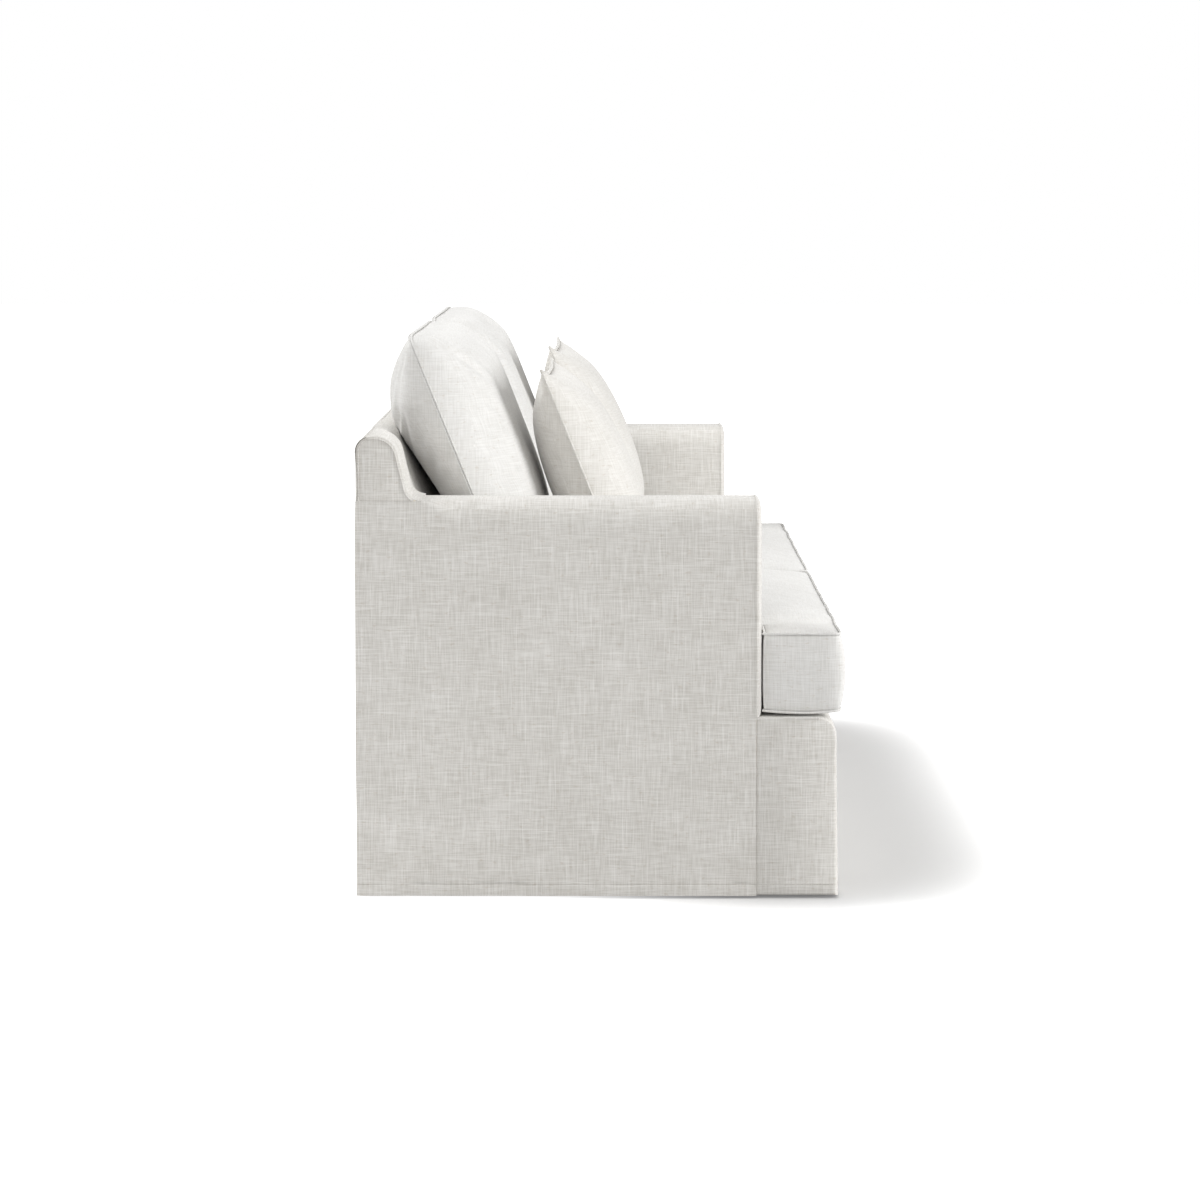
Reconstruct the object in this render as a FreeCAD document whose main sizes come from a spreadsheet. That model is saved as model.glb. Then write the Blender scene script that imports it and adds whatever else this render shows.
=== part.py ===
import FreeCAD, Part
import math
import os
import Sketcher
from FreeCAD import Vector

# Slipcovered two-seat sofa, as an upholsterer builds it: a hardwood frame on four legs, webbing,
# foam and a loose linen slipcover, with lift-out seat cushions, back cushions and throw pillows.
# Millimetres. X runs along the sofa, the front faces -Y, and Z = 0 is the floor.
# The origin is the middle of the footprint.

doc = FreeCAD.newDocument("slipcovered_sofa")

# Driving dimensions: alias, value, meaning
SIZES = (
    ("sofa_length", "2000", "length over the arms"),
    ("base_depth", "815", "depth of the base, outside back to front border"),
    ("cushion_overhang", "18", "seat cushion front past the base"),
    ("hem_clearance", "4", "hem of the cover above the floor"),
    ("arm_height", "678", "floor to the top of the arm"),
    ("arm_width", "140", "thickness of an arm"),
    ("arm_setback", "129.5", "front of the arm behind the front of the base"),
    ("arm_top_radius", "42", "rounding of the arm's two top edges"),
    ("facing_crown", "7", "crown of the facing on the arm's front"),
    ("facing_inset", "9", "how far the crown of the facing draws in"),
    ("back_rise", "108.5", "top of the back above the top of the arm"),
    ("back_lean", "22", "lean of the back and of what rests on it, degrees"),
    ("back_top_depth", "65", "thickness of the back just under its roll"),
    ("back_roll_drop", "36.5", "level of that thickness below the top"),
    ("back_roll_radius", "30", "front radius of the roll along the back's top"),
    ("back_rear_radius", "27", "rear radius of that roll"),
    ("wing_lean", "13.7", "lean of the wing's front edge, degrees"),
    ("wing_depth", "79.5", "wing, front to back, at its measured level"),
    ("wing_level_drop", "53.5", "that level below the top"),
    ("wing_top_radius", "38", "rounding at the top of the wing's front edge"),
    ("wing_root_radius", "24", "hollow where the wing runs into the arm"),
    ("deck_height", "308", "floor to the deck under the seat cushions"),
    ("deck_edge_radius", "30", "rounding of the deck's front edge"),
    ("cloth", "3", "thickness of the lined linen cover"),
    ("arm_padding", "17", "foam on the arm frame"),
    ("back_padding", "20", "foam on the inside of the back"),
    ("clearance", "0.3", "running clearance of loose pieces"),
    ("board", "25", "thickness of the frame's boards"),
    ("rail_bottom", "60", "floor to the underside of the rails"),
    ("tack_rail_height", "100", "height of the rail behind the seat"),
    ("top_rail_height", "45", "height of the rail along the back's top"),
    ("arm_post_depth", "60", "front post of the arm, front to back"),
    ("wing_post_depth", "60", "post in the wing, front to back"),
    ("webbing_width", "60", "width of a webbing strap"),
    ("webbing_thickness", "2", "thickness of a webbing strap"),
    ("webbing_lap", "30", "webbing tacked up the front of the back's top rail"),
    ("webbing_count", "12", "straps running front to back under the seat"),
    ("cross_webbing_count", "4", "straps running along the seat"),
    ("back_webbing_count", "10", "straps up the back"),
    ("block_leg", "110", "short sides of a corner block"),
    ("block_height", "50", "height of a corner block"),
    ("leg_top_width", "62", "width of a leg at its top"),
    ("leg_taper", "6", "taper of a leg's sides, degrees"),
    ("leg_inset", "62", "middle of a leg from the ends and faces of the base"),
    ("leg_foot_bevel", "3", "bevel round the foot of a leg"),
    ("bolt_diameter", "8", "shank of the bolt that holds a leg"),
    ("bolt_length", "75", "length of that bolt"),
    ("bolt_depth", "35", "how far the bolt sits in the leg"),
    ("bolt_clearance", "0.25", "clearance round the bolt"),
    ("dust_cloth", "1.5", "thickness of the cloth under the frame"),
    ("dust_margin", "12", "dust cloth in from the rails' outer faces"),
    ("seat_return_gap", "8", "gap from the arm's front to the cushion's return"),
    ("seat_return_inset", "16", "side of the return in from the arm's outside"),
    ("seat_side_gap", "3", "cushion from the arm and from its neighbour, at the welts"),
    ("seat_rear_gap", "5", "seat cushion from the back"),
    ("seat_lower_welt", "9.5", "lower welt above the underside of the cushion"),
    ("seat_boxing", "131", "height of the boxing, welt to welt"),
    ("seat_crown", "21.5", "crown of the seat cushion above its upper welt"),
    ("seat_front_bulge", "10", "boxing bulge past the front welts"),
    ("seat_side_bulge", "2", "boxing bulge on the other sides"),
    ("seat_edge_pull", "3", "how far a long welt pulls in between its corners"),
    ("seat_under_inset", "26", "underside in from the lower welt"),
    ("seat_wrap", "14", "fibre wrap between the case and the foam core"),
    ("back_cushion_gap", "14", "back cushion from the sofa's middle"),
    ("back_cushion_end", "40", "back cushion from the arm"),
    ("back_cushion_height", "528", "height of a back cushion, seam to seam"),
    ("back_cushion_front", "108", "crown of its front"),
    ("back_cushion_rear", "88", "crown of its rear"),
    ("plump_seam_angle", "62", "slope of a plump side at the seam, degrees"),
    ("plump_crown_angle", "18", "slope of a plump side where its crown begins, degrees"),
    ("rear_seam_angle", "76", "slope of a back cushion's rear at the seam, degrees"),
    ("rear_crown_angle", "7", "slope of that rear where its crown begins, degrees"),
    ("back_cushion_wrap", "45", "fill in from the seams of the case"),
    ("pillow_size", "440", "throw pillow, seam to seam"),
    ("pillow_crown", "77", "crown of each side of a pillow"),
    ("pillow_wrap", "70", "fill in from the seams of the case"),
    ("pillow_gap", "7.5", "pillow's crown in front of the back cushion's"),
    ("pillow_inner", "249", "inner side of a pillow from the sofa's middle"),
    ("pillow_yaw", "1.5", "turn of the pillows about the vertical, degrees"),
    ("rest_gap", "0.4", "loose cushion above what it rests on"),
    ("rest_play", "0.08", "how closely that gap is met"),
    ("zip_end_margin", "70", "zip from the ends of the rear boxing"),
    ("zip_channel_depth", "9", "depth of the placket that the zip lies in"),
    ("zip_channel_height", "32", "height of that placket"),
    ("zip_tape_height", "28", "height of the zip's tape"),
    ("zip_tape_thickness", "1.2", "thickness of the tape"),
    ("zip_chain_height", "6", "height of the closed teeth"),
    ("zip_chain_thickness", "2.4", "how far the teeth stand off the tape"),
    ("zip_slider_length", "14", "length of the slider's body"),
    ("zip_slider_height", "11", "height of the slider's body"),
    ("zip_slider_wall", "1.2", "wall of the slider over the teeth"),
    ("zip_pull_length", "24", "length of the pull tab"),
    ("zip_pull_width", "5", "width of the pull tab"),
    ("zip_pull_thickness", "1.2", "thickness of the pull tab"),
)

# Places worked out from the driving dimensions
PLACES = (
    ("half_length", "=Sizes.sofa_length / 2", "outside of an arm"),
    ("arm_inside", "=half_length - Sizes.arm_width", "inside of an arm"),
    ("rear", "=(Sizes.base_depth + Sizes.cushion_overhang) / 2", "outside of the back"),
    ("base_front", "=rear - Sizes.base_depth", "front of the base"),
    ("arm_front", "=base_front + Sizes.arm_setback", "front of the arm's facing"),
    ("facing_seam", "=arm_front + Sizes.facing_crown", "seam round the facing"),
    ("frame_end", "=half_length - Sizes.cloth", "outside of the side rails"),
    ("frame_rear", "=rear - Sizes.cloth", "rear of the back rail"),
    ("frame_front", "=base_front + Sizes.cloth", "front of the front rail"),
    ("rail_top", "=Sizes.deck_height - Sizes.deck_edge_radius", "top of the rails"),
    ("rail_height", "=rail_top - Sizes.rail_bottom", "height of the rails"),
    ("block_top", "=Sizes.rail_bottom + Sizes.block_height", "top of the corner blocks"),
    ("deck_pad_bottom", "=rail_top + 2 * Sizes.webbing_thickness", "underside of the deck pad"),
    ("deck_pad_top", "=Sizes.deck_height - Sizes.cloth", "top of the deck pad"),
    ("post_inside", "=arm_inside + Sizes.cloth + Sizes.arm_padding", "inside of the arm's timber"),
    ("post_outside", "=half_length - Sizes.cloth - Sizes.arm_padding", "its outside"),
    ("post_width", "=post_outside - post_inside", "width of the arm's timber"),
    ("post_front", "=facing_seam + Sizes.cloth + Sizes.arm_padding", "front of the arm post"),
    ("arm_rail_top", "=Sizes.arm_height - Sizes.cloth - Sizes.arm_padding", "top of the arm rail"),
    ("back_height", "=Sizes.arm_height + Sizes.back_rise", "floor to the top of the back"),
    ("roll_level", "=back_height - Sizes.back_roll_drop", "level of back_top_depth"),
    ("inside_at_roll", "=rear - Sizes.back_top_depth", "inside of the back at that level"),
    ("foam_run", "=(Sizes.cloth + Sizes.back_padding) / cos(Sizes.back_lean)",
     "cover and foam of the back, measured level"),
    ("timber_at_roll", "=inside_at_roll + foam_run + Sizes.webbing_thickness / cos(Sizes.back_lean)",
     "front of the back's timber at that level"),
    ("timber_at_rail", "=timber_at_roll - (roll_level - rail_top) * tan(Sizes.back_lean)",
     "front of the back's timber at the rails' top"),
    ("upright_top", "=back_height - Sizes.cloth - Sizes.back_padding - Sizes.top_rail_height",
     "top of the uprights"),
    ("timber_at_top", "=timber_at_roll - (roll_level - upright_top) * tan(Sizes.back_lean)",
     "front of the back's timber at the uprights' top"),
    ("timber_rear", "=frame_rear - Sizes.webbing_thickness", "rear of the back's timber"),
    ("wing_post_front", "=timber_rear - Sizes.wing_post_depth", "front of the wing post"),
    ("timber_line_at_post", "=roll_level - (timber_at_roll - wing_post_front) / tan(Sizes.back_lean)",
     "level where the raked timber passes the front of the wing post"),
    ("leg_x", "=half_length - Sizes.leg_inset", "middle of a leg along the sofa"),
    ("leg_front", "=base_front + Sizes.leg_inset", "middle of the front legs"),
    ("leg_rear", "=rear - Sizes.leg_inset", "middle of the rear legs"),
    ("leg_height", "=Sizes.rail_bottom - Sizes.dust_cloth", "height of a leg"),
)


def fill_sheet(name, rows):
    """A sheet with one value to a line: its meaning in column A, the value and its alias in column B."""
    page = doc.addObject("Spreadsheet::Sheet", name)
    for line, (alias, content, meaning) in enumerate(rows, start=1):
        page.set("A%d" % line, meaning)
        page.set("B%d" % line, content)
        page.setAlias("B%d" % line, alias)
    doc.recompute()
    return page


sizes = fill_sheet("Sizes", SIZES)
places = fill_sheet("Places", PLACES)
parts = []


def size(alias):
    return float(sizes.get(alias))


def place(alias):
    return float(places.get(alias))


# Ways of making a piece

def board(label, corner, span):
    """A sawn board: a box whose lowest corner and three lengths are bound to the sheets."""
    box = doc.addObject("Part::Box", label)
    for axis, formula in zip("xyz", corner):
        box.setExpression("Placement.Base." + axis, formula)
    for side, formula in zip(("Length", "Width", "Height"), span):
        box.setExpression(side, formula)
    return box


def cut_outline(body, label, role, corners, start=None):
    """A sketch of straight lines on a body's plane, or started off it, its corners bound to the sheets."""
    sketch = body.newObject("Sketcher::SketchObject", label + "_outline")
    plane = [item for item in body.Origin.OriginFeatures if item.Role == role][0]
    sketch.AttachmentSupport = [(plane, "")]
    sketch.MapMode = "FlatFace"
    if start:
        sketch.setExpression("AttachmentOffset.Base.z", start)
    values = [[float(sketch.evalExpression(formula)) for formula in corner] for corner in corners]
    count = len(corners)
    for spot in range(count):
        first, second = values[spot], values[(spot + 1) % count]
        sketch.addGeometry(Part.LineSegment(Vector(*first, 0), Vector(*second, 0)), False)
    for spot in range(count):
        sketch.addConstraint(Sketcher.Constraint("Coincident", spot, 2, (spot + 1) % count, 1))
    for spot in range(count):
        for axis, kind in enumerate(("DistanceX", "DistanceY")):
            constraint = Sketcher.Constraint(kind, -1, 1, spot, 1, values[spot][axis])
            name = "corner_%d_%s" % (spot, kind)
            sketch.renameConstraint(sketch.addConstraint(constraint), name)
            sketch.setExpression("Constraints." + name, corners[spot][axis])
    return sketch


def plate(label, role, start, thickness, corners):
    """A board cut to an outline: the sketch of it, padded to its thickness."""
    body = doc.addObject("PartDesign::Body", label)
    pad = body.newObject("PartDesign::Pad", label + "_thickness")
    pad.Profile = cut_outline(body, label, role, corners, start)
    pad.setExpression("Length", thickness)
    return body


def shaped(label, shape):
    """A piece whose form is worked out below from the sheets' values."""
    piece = doc.addObject("Part::Feature", label)
    piece.Shape = shape
    return piece


def mirrored(label, source):
    """The left-hand twin of a right-hand piece."""
    twin = doc.addObject("Part::Mirroring", label)
    twin.Source = source
    twin.Normal = (1, 0, 0)
    return twin


def pair(stem, right):
    """Both hands of a piece."""
    parts.append(right)
    parts.append(mirrored(stem + "_left", right))


def keep(piece):
    parts.append(piece)
    return piece


def block(corner, far):
    """A plain box from one corner to the opposite one."""
    span = [high - low for low, high in zip(corner, far)]
    return Part.makeBox(span[0], span[1], span[2], Vector(*corner))


def side_view(across, up):
    return Vector(0, across, up)


def front_view(across, up):
    return Vector(across, 0, up)


def arc(view, centre, radius, start, end):
    """An arc about a centre, seen in a view, from one direction to another, in degrees."""
    spots = []
    for turn in (start, (start + end) / 2, end):
        angle = math.radians(turn)
        spots.append(view(centre[0] + radius * math.cos(angle), centre[1] + radius * math.sin(angle)))
    return Part.Arc(*spots).toShape()


# Two points closer than this are one
TOUCHING = 1e-7


def outline(view, steps):
    """A closed wire in a view from points and arcs in order, joined by straight lines."""
    edges = []
    first = last = None
    for step in steps:
        if isinstance(step, tuple):
            start = end = view(*step)
        else:
            start, end = step.Vertexes[0].Point, step.Vertexes[-1].Point
        if last is not None and last.distanceToPoint(start) > TOUCHING:
            edges.append(Part.makeLine(last, start))
        if not isinstance(step, tuple):
            edges.append(step)
        first = first or start
        last = end
    if last.distanceToPoint(first) > TOUCHING:
        edges.append(Part.makeLine(last, first))
    return Part.Wire(edges)


def along_x(wire, start, end):
    """A side view's outline run along the sofa from one place to another."""
    face = Part.Face(wire)
    face.translate(Vector(start, 0, 0))
    return face.extrude(Vector(end - start, 0, 0))


def along_y(wire, start, end):
    """A front view's outline run from front to rear."""
    face = Part.Face(wire)
    face.translate(Vector(0, start, 0))
    return face.extrude(Vector(0, end - start, 0))


def ring(corners, bulges, level):
    """A level outline: corners taken anticlockwise, each side an arc that stands out by its bulge."""
    edges = []
    for spot, corner in enumerate(corners):
        start = Vector(*corner, level)
        end = Vector(*corners[(spot + 1) % len(corners)], level)
        run = end - start
        outward = Vector(run.y, -run.x, 0).normalize()
        middle = (start + end) / 2 + outward * bulges[spot]
        if bulges[spot]:
            edges.append(Part.Arc(start, middle, end).toShape())
        else:
            edges.append(Part.makeLine(start, end))
    return Part.Wire(edges)


# Hardwood frame

keep(board("front_rail", ("-Places.frame_end", "Places.frame_front", "Sizes.rail_bottom"),
           ("2 * Places.frame_end", "Sizes.board", "Places.rail_height")))
keep(board("back_rail", ("-Places.frame_end", "Places.frame_rear - Sizes.board", "Sizes.rail_bottom"),
           ("2 * Places.frame_end", "Sizes.board", "Places.rail_height")))
RAIL_RUN = "Places.frame_rear - Places.frame_front - 2 * Sizes.board"
pair("side_rail", board("side_rail_right",
                        ("Places.frame_end - Sizes.board", "Places.frame_front + Sizes.board",
                         "Sizes.rail_bottom"),
                        ("Sizes.board", RAIL_RUN, "Places.rail_height")))
keep(board("centre_stretcher", ("-Sizes.board / 2", "Places.frame_front + Sizes.board", "Sizes.rail_bottom"),
           ("Sizes.board", "Places.timber_at_rail - Sizes.board - Places.frame_front - Sizes.board",
            "Places.rail_height")))
keep(board("tack_rail", ("-Places.post_inside - Sizes.board", "Places.timber_at_rail - Sizes.board",
                         "Places.rail_top - Sizes.tack_rail_height"),
           ("2 * Places.post_inside + 2 * Sizes.board", "Sizes.board", "Sizes.tack_rail_height")))

# An upright is cut from board: square behind the seat, then raked up to the rail along the top
UPRIGHT = (("Places.timber_at_rail", "Places.block_top"),
           ("Places.frame_rear - Sizes.board", "Places.block_top"),
           ("Places.frame_rear - Sizes.board", "Places.rail_top"),
           ("Places.timber_rear", "Places.rail_top"),
           ("Places.timber_rear", "Places.upright_top"),
           ("Places.timber_at_top", "Places.upright_top"),
           ("Places.timber_at_rail", "Places.rail_top"))
keep(plate("back_upright_centre", "YZ_Plane", "-Sizes.board / 2", "Sizes.board", UPRIGHT))
pair("back_upright", plate("back_upright_right", "YZ_Plane", "Places.post_inside", "Sizes.board", UPRIGHT))
top_rail = keep(board("back_top_rail",
                      ("-Places.post_outside", "Places.timber_at_top", "Places.upright_top"),
                      ("2 * Places.post_outside", "Places.timber_rear - Places.timber_at_top",
                       "Sizes.top_rail_height")))
pair("wing_post", board("wing_post_right",
                        ("Places.post_inside + Sizes.board", "Places.wing_post_front", "Places.rail_top"),
                        ("Places.post_width - Sizes.board", "Sizes.wing_post_depth",
                         "Places.upright_top - Places.rail_top")))
pair("arm_post", board("arm_post_right", ("Places.post_inside", "Places.post_front", "Places.rail_top"),
                       ("Places.post_width", "Sizes.arm_post_depth",
                        "Places.arm_rail_top - Sizes.board - Places.rail_top")))
pair("arm_top_rail", board("arm_top_rail_right",
                           ("Places.post_inside", "Places.post_front", "Places.arm_rail_top - Sizes.board"),
                           ("Places.post_width",
                            "Places.timber_at_roll - (Places.roll_level - Places.arm_rail_top + Sizes.board)"
                            " * tan(Sizes.back_lean) - Places.post_front", "Sizes.board")))


# Corner blocks, legs and the bolts through them

def corner_block(label, corner_y, toward):
    """A glued triangular block in a corner of the rails."""
    far_x = "Places.frame_end - Sizes.board"
    return plate(label, "XY_Plane", "Sizes.rail_bottom", "Sizes.block_height",
                 ((far_x, corner_y), (far_x + " - Sizes.block_leg", corner_y),
                  (far_x, corner_y + toward + "Sizes.block_leg")))


def bore(label, piece, leg_y, low, height):
    """The piece with an upright hole for a leg's bolt."""
    drill = doc.addObject("Part::Cylinder", label + "_drill")
    drill.setExpression("Placement.Base.x", "Places.leg_x")
    drill.setExpression("Placement.Base.y", leg_y)
    drill.setExpression("Placement.Base.z", low)
    drill.setExpression("Radius", "Sizes.bolt_diameter / 2 + Sizes.bolt_clearance")
    drill.setExpression("Height", height)
    cut = doc.addObject("Part::Cut", label)
    cut.Base = piece
    cut.Tool = drill
    return cut


def leg(label, leg_y):
    """A block leg: square, drafted to a narrower foot, its foot bevelled, bored for its bolt."""
    body = doc.addObject("PartDesign::Body", label + "_block")
    body.setExpression("Placement.Base.x", "Places.leg_x")
    body.setExpression("Placement.Base.y", leg_y)
    near, far = "-Sizes.leg_top_width / 2", "Sizes.leg_top_width / 2"
    pad = body.newObject("PartDesign::Pad", label + "_blank")
    pad.Profile = cut_outline(body, label, "XY_Plane", ((near, near), (far, near), (far, far), (near, far)))
    pad.setExpression("Length", "Places.leg_height")
    doc.recompute()
    by_level = sorted(range(len(pad.Shape.Faces)), key=lambda spot: pad.Shape.Faces[spot].CenterOfMass.z)
    names = ["Face%d" % (spot + 1) for spot in by_level]
    draft = body.newObject("PartDesign::Draft", label + "_taper")
    draft.Base = (pad, names[1:-1])
    draft.NeutralPlane = (pad, [names[-1]])
    draft.Reversed = True
    draft.setExpression("Angle", "Sizes.leg_taper")
    doc.recompute()
    foot = min(range(len(draft.Shape.Faces)), key=lambda spot: draft.Shape.Faces[spot].CenterOfMass.z)
    bevel = body.newObject("PartDesign::Chamfer", label + "_bevel")
    bevel.Base = (draft, ["Face%d" % (foot + 1)])
    bevel.setExpression("Size", "Sizes.leg_foot_bevel")
    return bore(label, body, leg_y, "Places.leg_height - Sizes.bolt_depth", "Sizes.bolt_depth")


pair("leg_front", leg("leg_front_right", "Places.leg_front"))
pair("leg_rear", leg("leg_rear_right", "Places.leg_rear"))


def group(label, right_hand):
    """One node of separate solids: right-hand pieces and their left-hand twins."""
    both = list(right_hand)
    for number, piece in enumerate(right_hand, start=1):
        both.append(mirrored("%s_left_%d" % (label, number), piece))
    bundle = doc.addObject("Part::Compound", label)
    bundle.Links = both
    return keep(bundle)


group("corner_blocks", (
    bore("corner_block_front",
         corner_block("corner_block_front_body", "Places.frame_front + Sizes.board", " + "),
         "Places.leg_front", "Sizes.rail_bottom", "Sizes.block_height"),
    bore("corner_block_rear",
         corner_block("corner_block_rear_body", "Places.frame_rear - Sizes.board", " - "),
         "Places.leg_rear", "Sizes.rail_bottom", "Sizes.block_height")))


def bolt(label, leg_y):
    """A hanger bolt, from inside the leg up through the corner block."""
    shank = doc.addObject("Part::Cylinder", label)
    shank.setExpression("Placement.Base.x", "Places.leg_x")
    shank.setExpression("Placement.Base.y", leg_y)
    shank.setExpression("Placement.Base.z", "Places.leg_height - Sizes.bolt_depth")
    shank.setExpression("Radius", "Sizes.bolt_diameter / 2")
    shank.setExpression("Height", "Sizes.bolt_length")
    return shank


group("leg_bolts", (bolt("leg_bolt_front", "Places.leg_front"), bolt("leg_bolt_rear", "Places.leg_rear")))
cloth_under = board("dust_cloth_sheet",
                    ("-Places.frame_end + Sizes.dust_margin", "Places.frame_front + Sizes.dust_margin",
                     "Places.leg_height"),
                    ("2 * (Places.frame_end - Sizes.dust_margin)",
                     "Places.frame_rear - Places.frame_front - 2 * Sizes.dust_margin", "Sizes.dust_cloth"))
holes = []
for stem, leg_y in (("front", "Places.leg_front"), ("rear", "Places.leg_rear")):
    for hand, side in (("right", ""), ("left", "-")):
        hole = doc.addObject("Part::Cylinder", "dust_cloth_hole_%s_%s" % (stem, hand))
        hole.setExpression("Placement.Base.x", side + "Places.leg_x")
        hole.setExpression("Placement.Base.y", leg_y)
        hole.setExpression("Placement.Base.z", "Places.leg_height")
        hole.setExpression("Radius", "Sizes.bolt_diameter / 2 + Sizes.bolt_clearance")
        hole.setExpression("Height", "Sizes.dust_cloth")
        holes.append(hole)
hole_set = doc.addObject("Part::MultiFuse", "dust_cloth_holes")
hole_set.Shapes = holes
dust_cover = doc.addObject("Part::Cut", "dust_cover")
dust_cover.Base = cloth_under
dust_cover.Tool = hole_set
keep(dust_cover)
doc.recompute()

# Values that the curved pieces below share

HALF = place("half_length")
ARM_IN = place("arm_inside")
REAR = place("rear")
FRONT = place("base_front")
SEAM = place("facing_seam")
END = place("frame_end")
FRAME_FRONT = place("frame_front")
FRAME_REAR = place("frame_rear")
PAD_LOW = place("deck_pad_bottom")
PAD_TOP = place("deck_pad_top")
RAIL_TOP = place("rail_top")
DECK = size("deck_height")
CLOTH = size("cloth")
TOP = place("back_height")
ARM_TOP = size("arm_height")
LEAN = math.radians(size("back_lean"))
GAP = size("clearance")
ARM_SHOULDER = ARM_TOP - size("arm_top_radius")
OVERRUN = size("board")


def inside_back(level):
    """Front of the inside back's cover at a level."""
    return place("inside_at_roll") - (place("roll_level") - level) * math.tan(LEAN)


def timber_line(level):
    """Front of the back's timber at a level."""
    return place("timber_at_roll") - (place("roll_level") - level) * math.tan(LEAN)


# Webbing under the seat and up the back

def webbing():
    """Straps front to back on the rails, with straps along the sofa laid over them."""
    wide, thick = size("webbing_width"), size("webbing_thickness")
    straps = []
    count = int(size("webbing_count"))
    first, last = FRAME_FRONT + size("board") / 4, place("timber_at_rail") - size("board") / 2
    for number in range(count):
        middle = -ARM_IN + 2 * ARM_IN * (number + 0.5) / count
        straps.append(block((middle - wide / 2, first, RAIL_TOP),
                            (middle + wide / 2, last, RAIL_TOP + thick)))
    count = int(size("cross_webbing_count"))
    start = place("post_front") + size("arm_post_depth")
    end = place("timber_at_rail") - size("board")
    for number in range(count):
        middle = start + (end - start) * (number + 0.5) / count
        straps.append(block((-place("post_outside"), middle - wide / 2, RAIL_TOP + thick),
                            (place("post_outside"), middle + wide / 2, PAD_LOW)))
    return Part.makeCompound(straps)


def back_webbing():
    """Straps up the raked plane from the tack rail, lapped onto the front of the top rail."""
    wide, thick = size("webbing_width"), size("webbing_thickness")
    level_thick = thick / math.cos(LEAN)
    bottom, top = place("timber_at_rail"), place("timber_at_top")
    bend, end = place("upright_top"), place("upright_top") + size("webbing_lap")
    strap = [(bottom, RAIL_TOP), (bottom - level_thick, RAIL_TOP),
             (top - level_thick, bend), (top - level_thick, end),
             (top, end), (top, bend)]
    straps = []
    count = int(size("back_webbing_count"))
    for number in range(count):
        middle = -ARM_IN + 2 * ARM_IN * (number + 0.5) / count
        straps.append(along_x(outline(side_view, strap), middle - wide / 2, middle + wide / 2))
    return Part.makeCompound(straps)


keep(shaped("seat_webbing", webbing()))
keep(shaped("back_webbing", back_webbing()))

# Padding

def deck_front(inset):
    """The rounding along the front of the deck."""
    radius = size("deck_edge_radius")
    return arc(side_view, (FRONT + radius, RAIL_TOP), radius - inset, 180, 90)


def deck_pad():
    """The deck's foam: under both cushions, with its front strip running past the arms."""
    radius = size("deck_edge_radius") - CLOTH
    rise = math.degrees(math.asin((PAD_LOW - RAIL_TOP) / radius))
    front_round = arc(side_view, (FRONT + size("deck_edge_radius"), RAIL_TOP), radius, 180 - rise, 90)
    strip = along_x(outline(side_view, [front_round, (SEAM, PAD_TOP), (SEAM, PAD_LOW)]), -END, END)
    rear = place("timber_at_rail") - size("webbing_thickness") / math.cos(LEAN)
    main = block((-ARM_IN - CLOTH, SEAM, PAD_LOW), (ARM_IN + CLOTH, rear, PAD_TOP))
    return strip.fuse(main).removeSplitter()


def back_profile(inset, low):
    """Side view of the back: raked inside, rolled top, upright outside."""
    lean = size("back_lean")
    front_radius, rear_radius = size("back_roll_radius"), size("back_rear_radius")
    level = TOP - front_radius
    reach = (front_radius + (level - place("roll_level")) * math.sin(LEAN)) / math.cos(LEAN)
    return outline(side_view, [
        (inside_back(low) + inset / math.cos(LEAN), low),
        arc(side_view, (place("inside_at_roll") + reach, level), front_radius - inset, 180 - lean, 90),
        arc(side_view, (REAR - rear_radius, TOP - rear_radius), rear_radius - inset, 90, 0),
        (REAR - inset, low)])


def back_pad():
    """Foam on the raked inside of the back and over its roll."""
    foam = along_x(back_profile(CLOTH, PAD_TOP), -ARM_IN, ARM_IN)
    slack = size("webbing_thickness") / math.cos(LEAN)
    low = PAD_TOP - OVERRUN
    room = outline(side_view, [
        (timber_line(low) - slack, low), (place("timber_at_top") - slack, place("upright_top")),
        (place("timber_at_top") - slack, place("upright_top") + size("top_rail_height")),
        (REAR + OVERRUN, place("upright_top") + size("top_rail_height")), (REAR + OVERRUN, low)])
    return foam.cut(along_x(room, -ARM_IN - OVERRUN, ARM_IN + OVERRUN))


def arch(inset, low):
    """Front view of the right arm: upright sides and two rounded top edges."""
    radius = size("arm_top_radius")
    return outline(front_view, [
        (HALF - inset, low),
        arc(front_view, (HALF - radius, ARM_SHOULDER), radius - inset, 0, 90),
        arc(front_view, (ARM_IN + radius, ARM_SHOULDER), radius - inset, 90, 180),
        (ARM_IN + inset, low)])


def wing_centres():
    """Centres of the wing's front rounding and of the hollow at its root."""
    lean = math.radians(size("wing_lean"))
    front, level = REAR - size("wing_depth"), TOP - size("wing_level_drop")
    top, root = size("wing_top_radius"), size("wing_root_radius")
    upper = TOP - top
    lower = ARM_TOP + root
    return ((front + (top + (upper - level) * math.sin(lean)) / math.cos(lean), upper),
            (front + ((lower - level) * math.sin(lean) - root) / math.cos(lean), lower))


UPPER_CENTRE, ROOT_CENTRE = wing_centres()
WING_ROOT = ROOT_CENTRE[0]


def wing_profile(inset, low):
    """Side view of a wing: it sweeps out of the arm, up its front edge and over to the rear."""
    lean, rear_radius = size("wing_lean"), size("back_rear_radius")
    return outline(side_view, [
        (WING_ROOT, low),
        arc(side_view, ROOT_CENTRE, size("wing_root_radius") + inset, -90, -lean),
        arc(side_view, UPPER_CENTRE, size("wing_top_radius") - inset, 180 - lean, 90),
        arc(side_view, (REAR - rear_radius, TOP - rear_radius), rear_radius - inset, 90, 0),
        (REAR - inset, low)])


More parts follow.
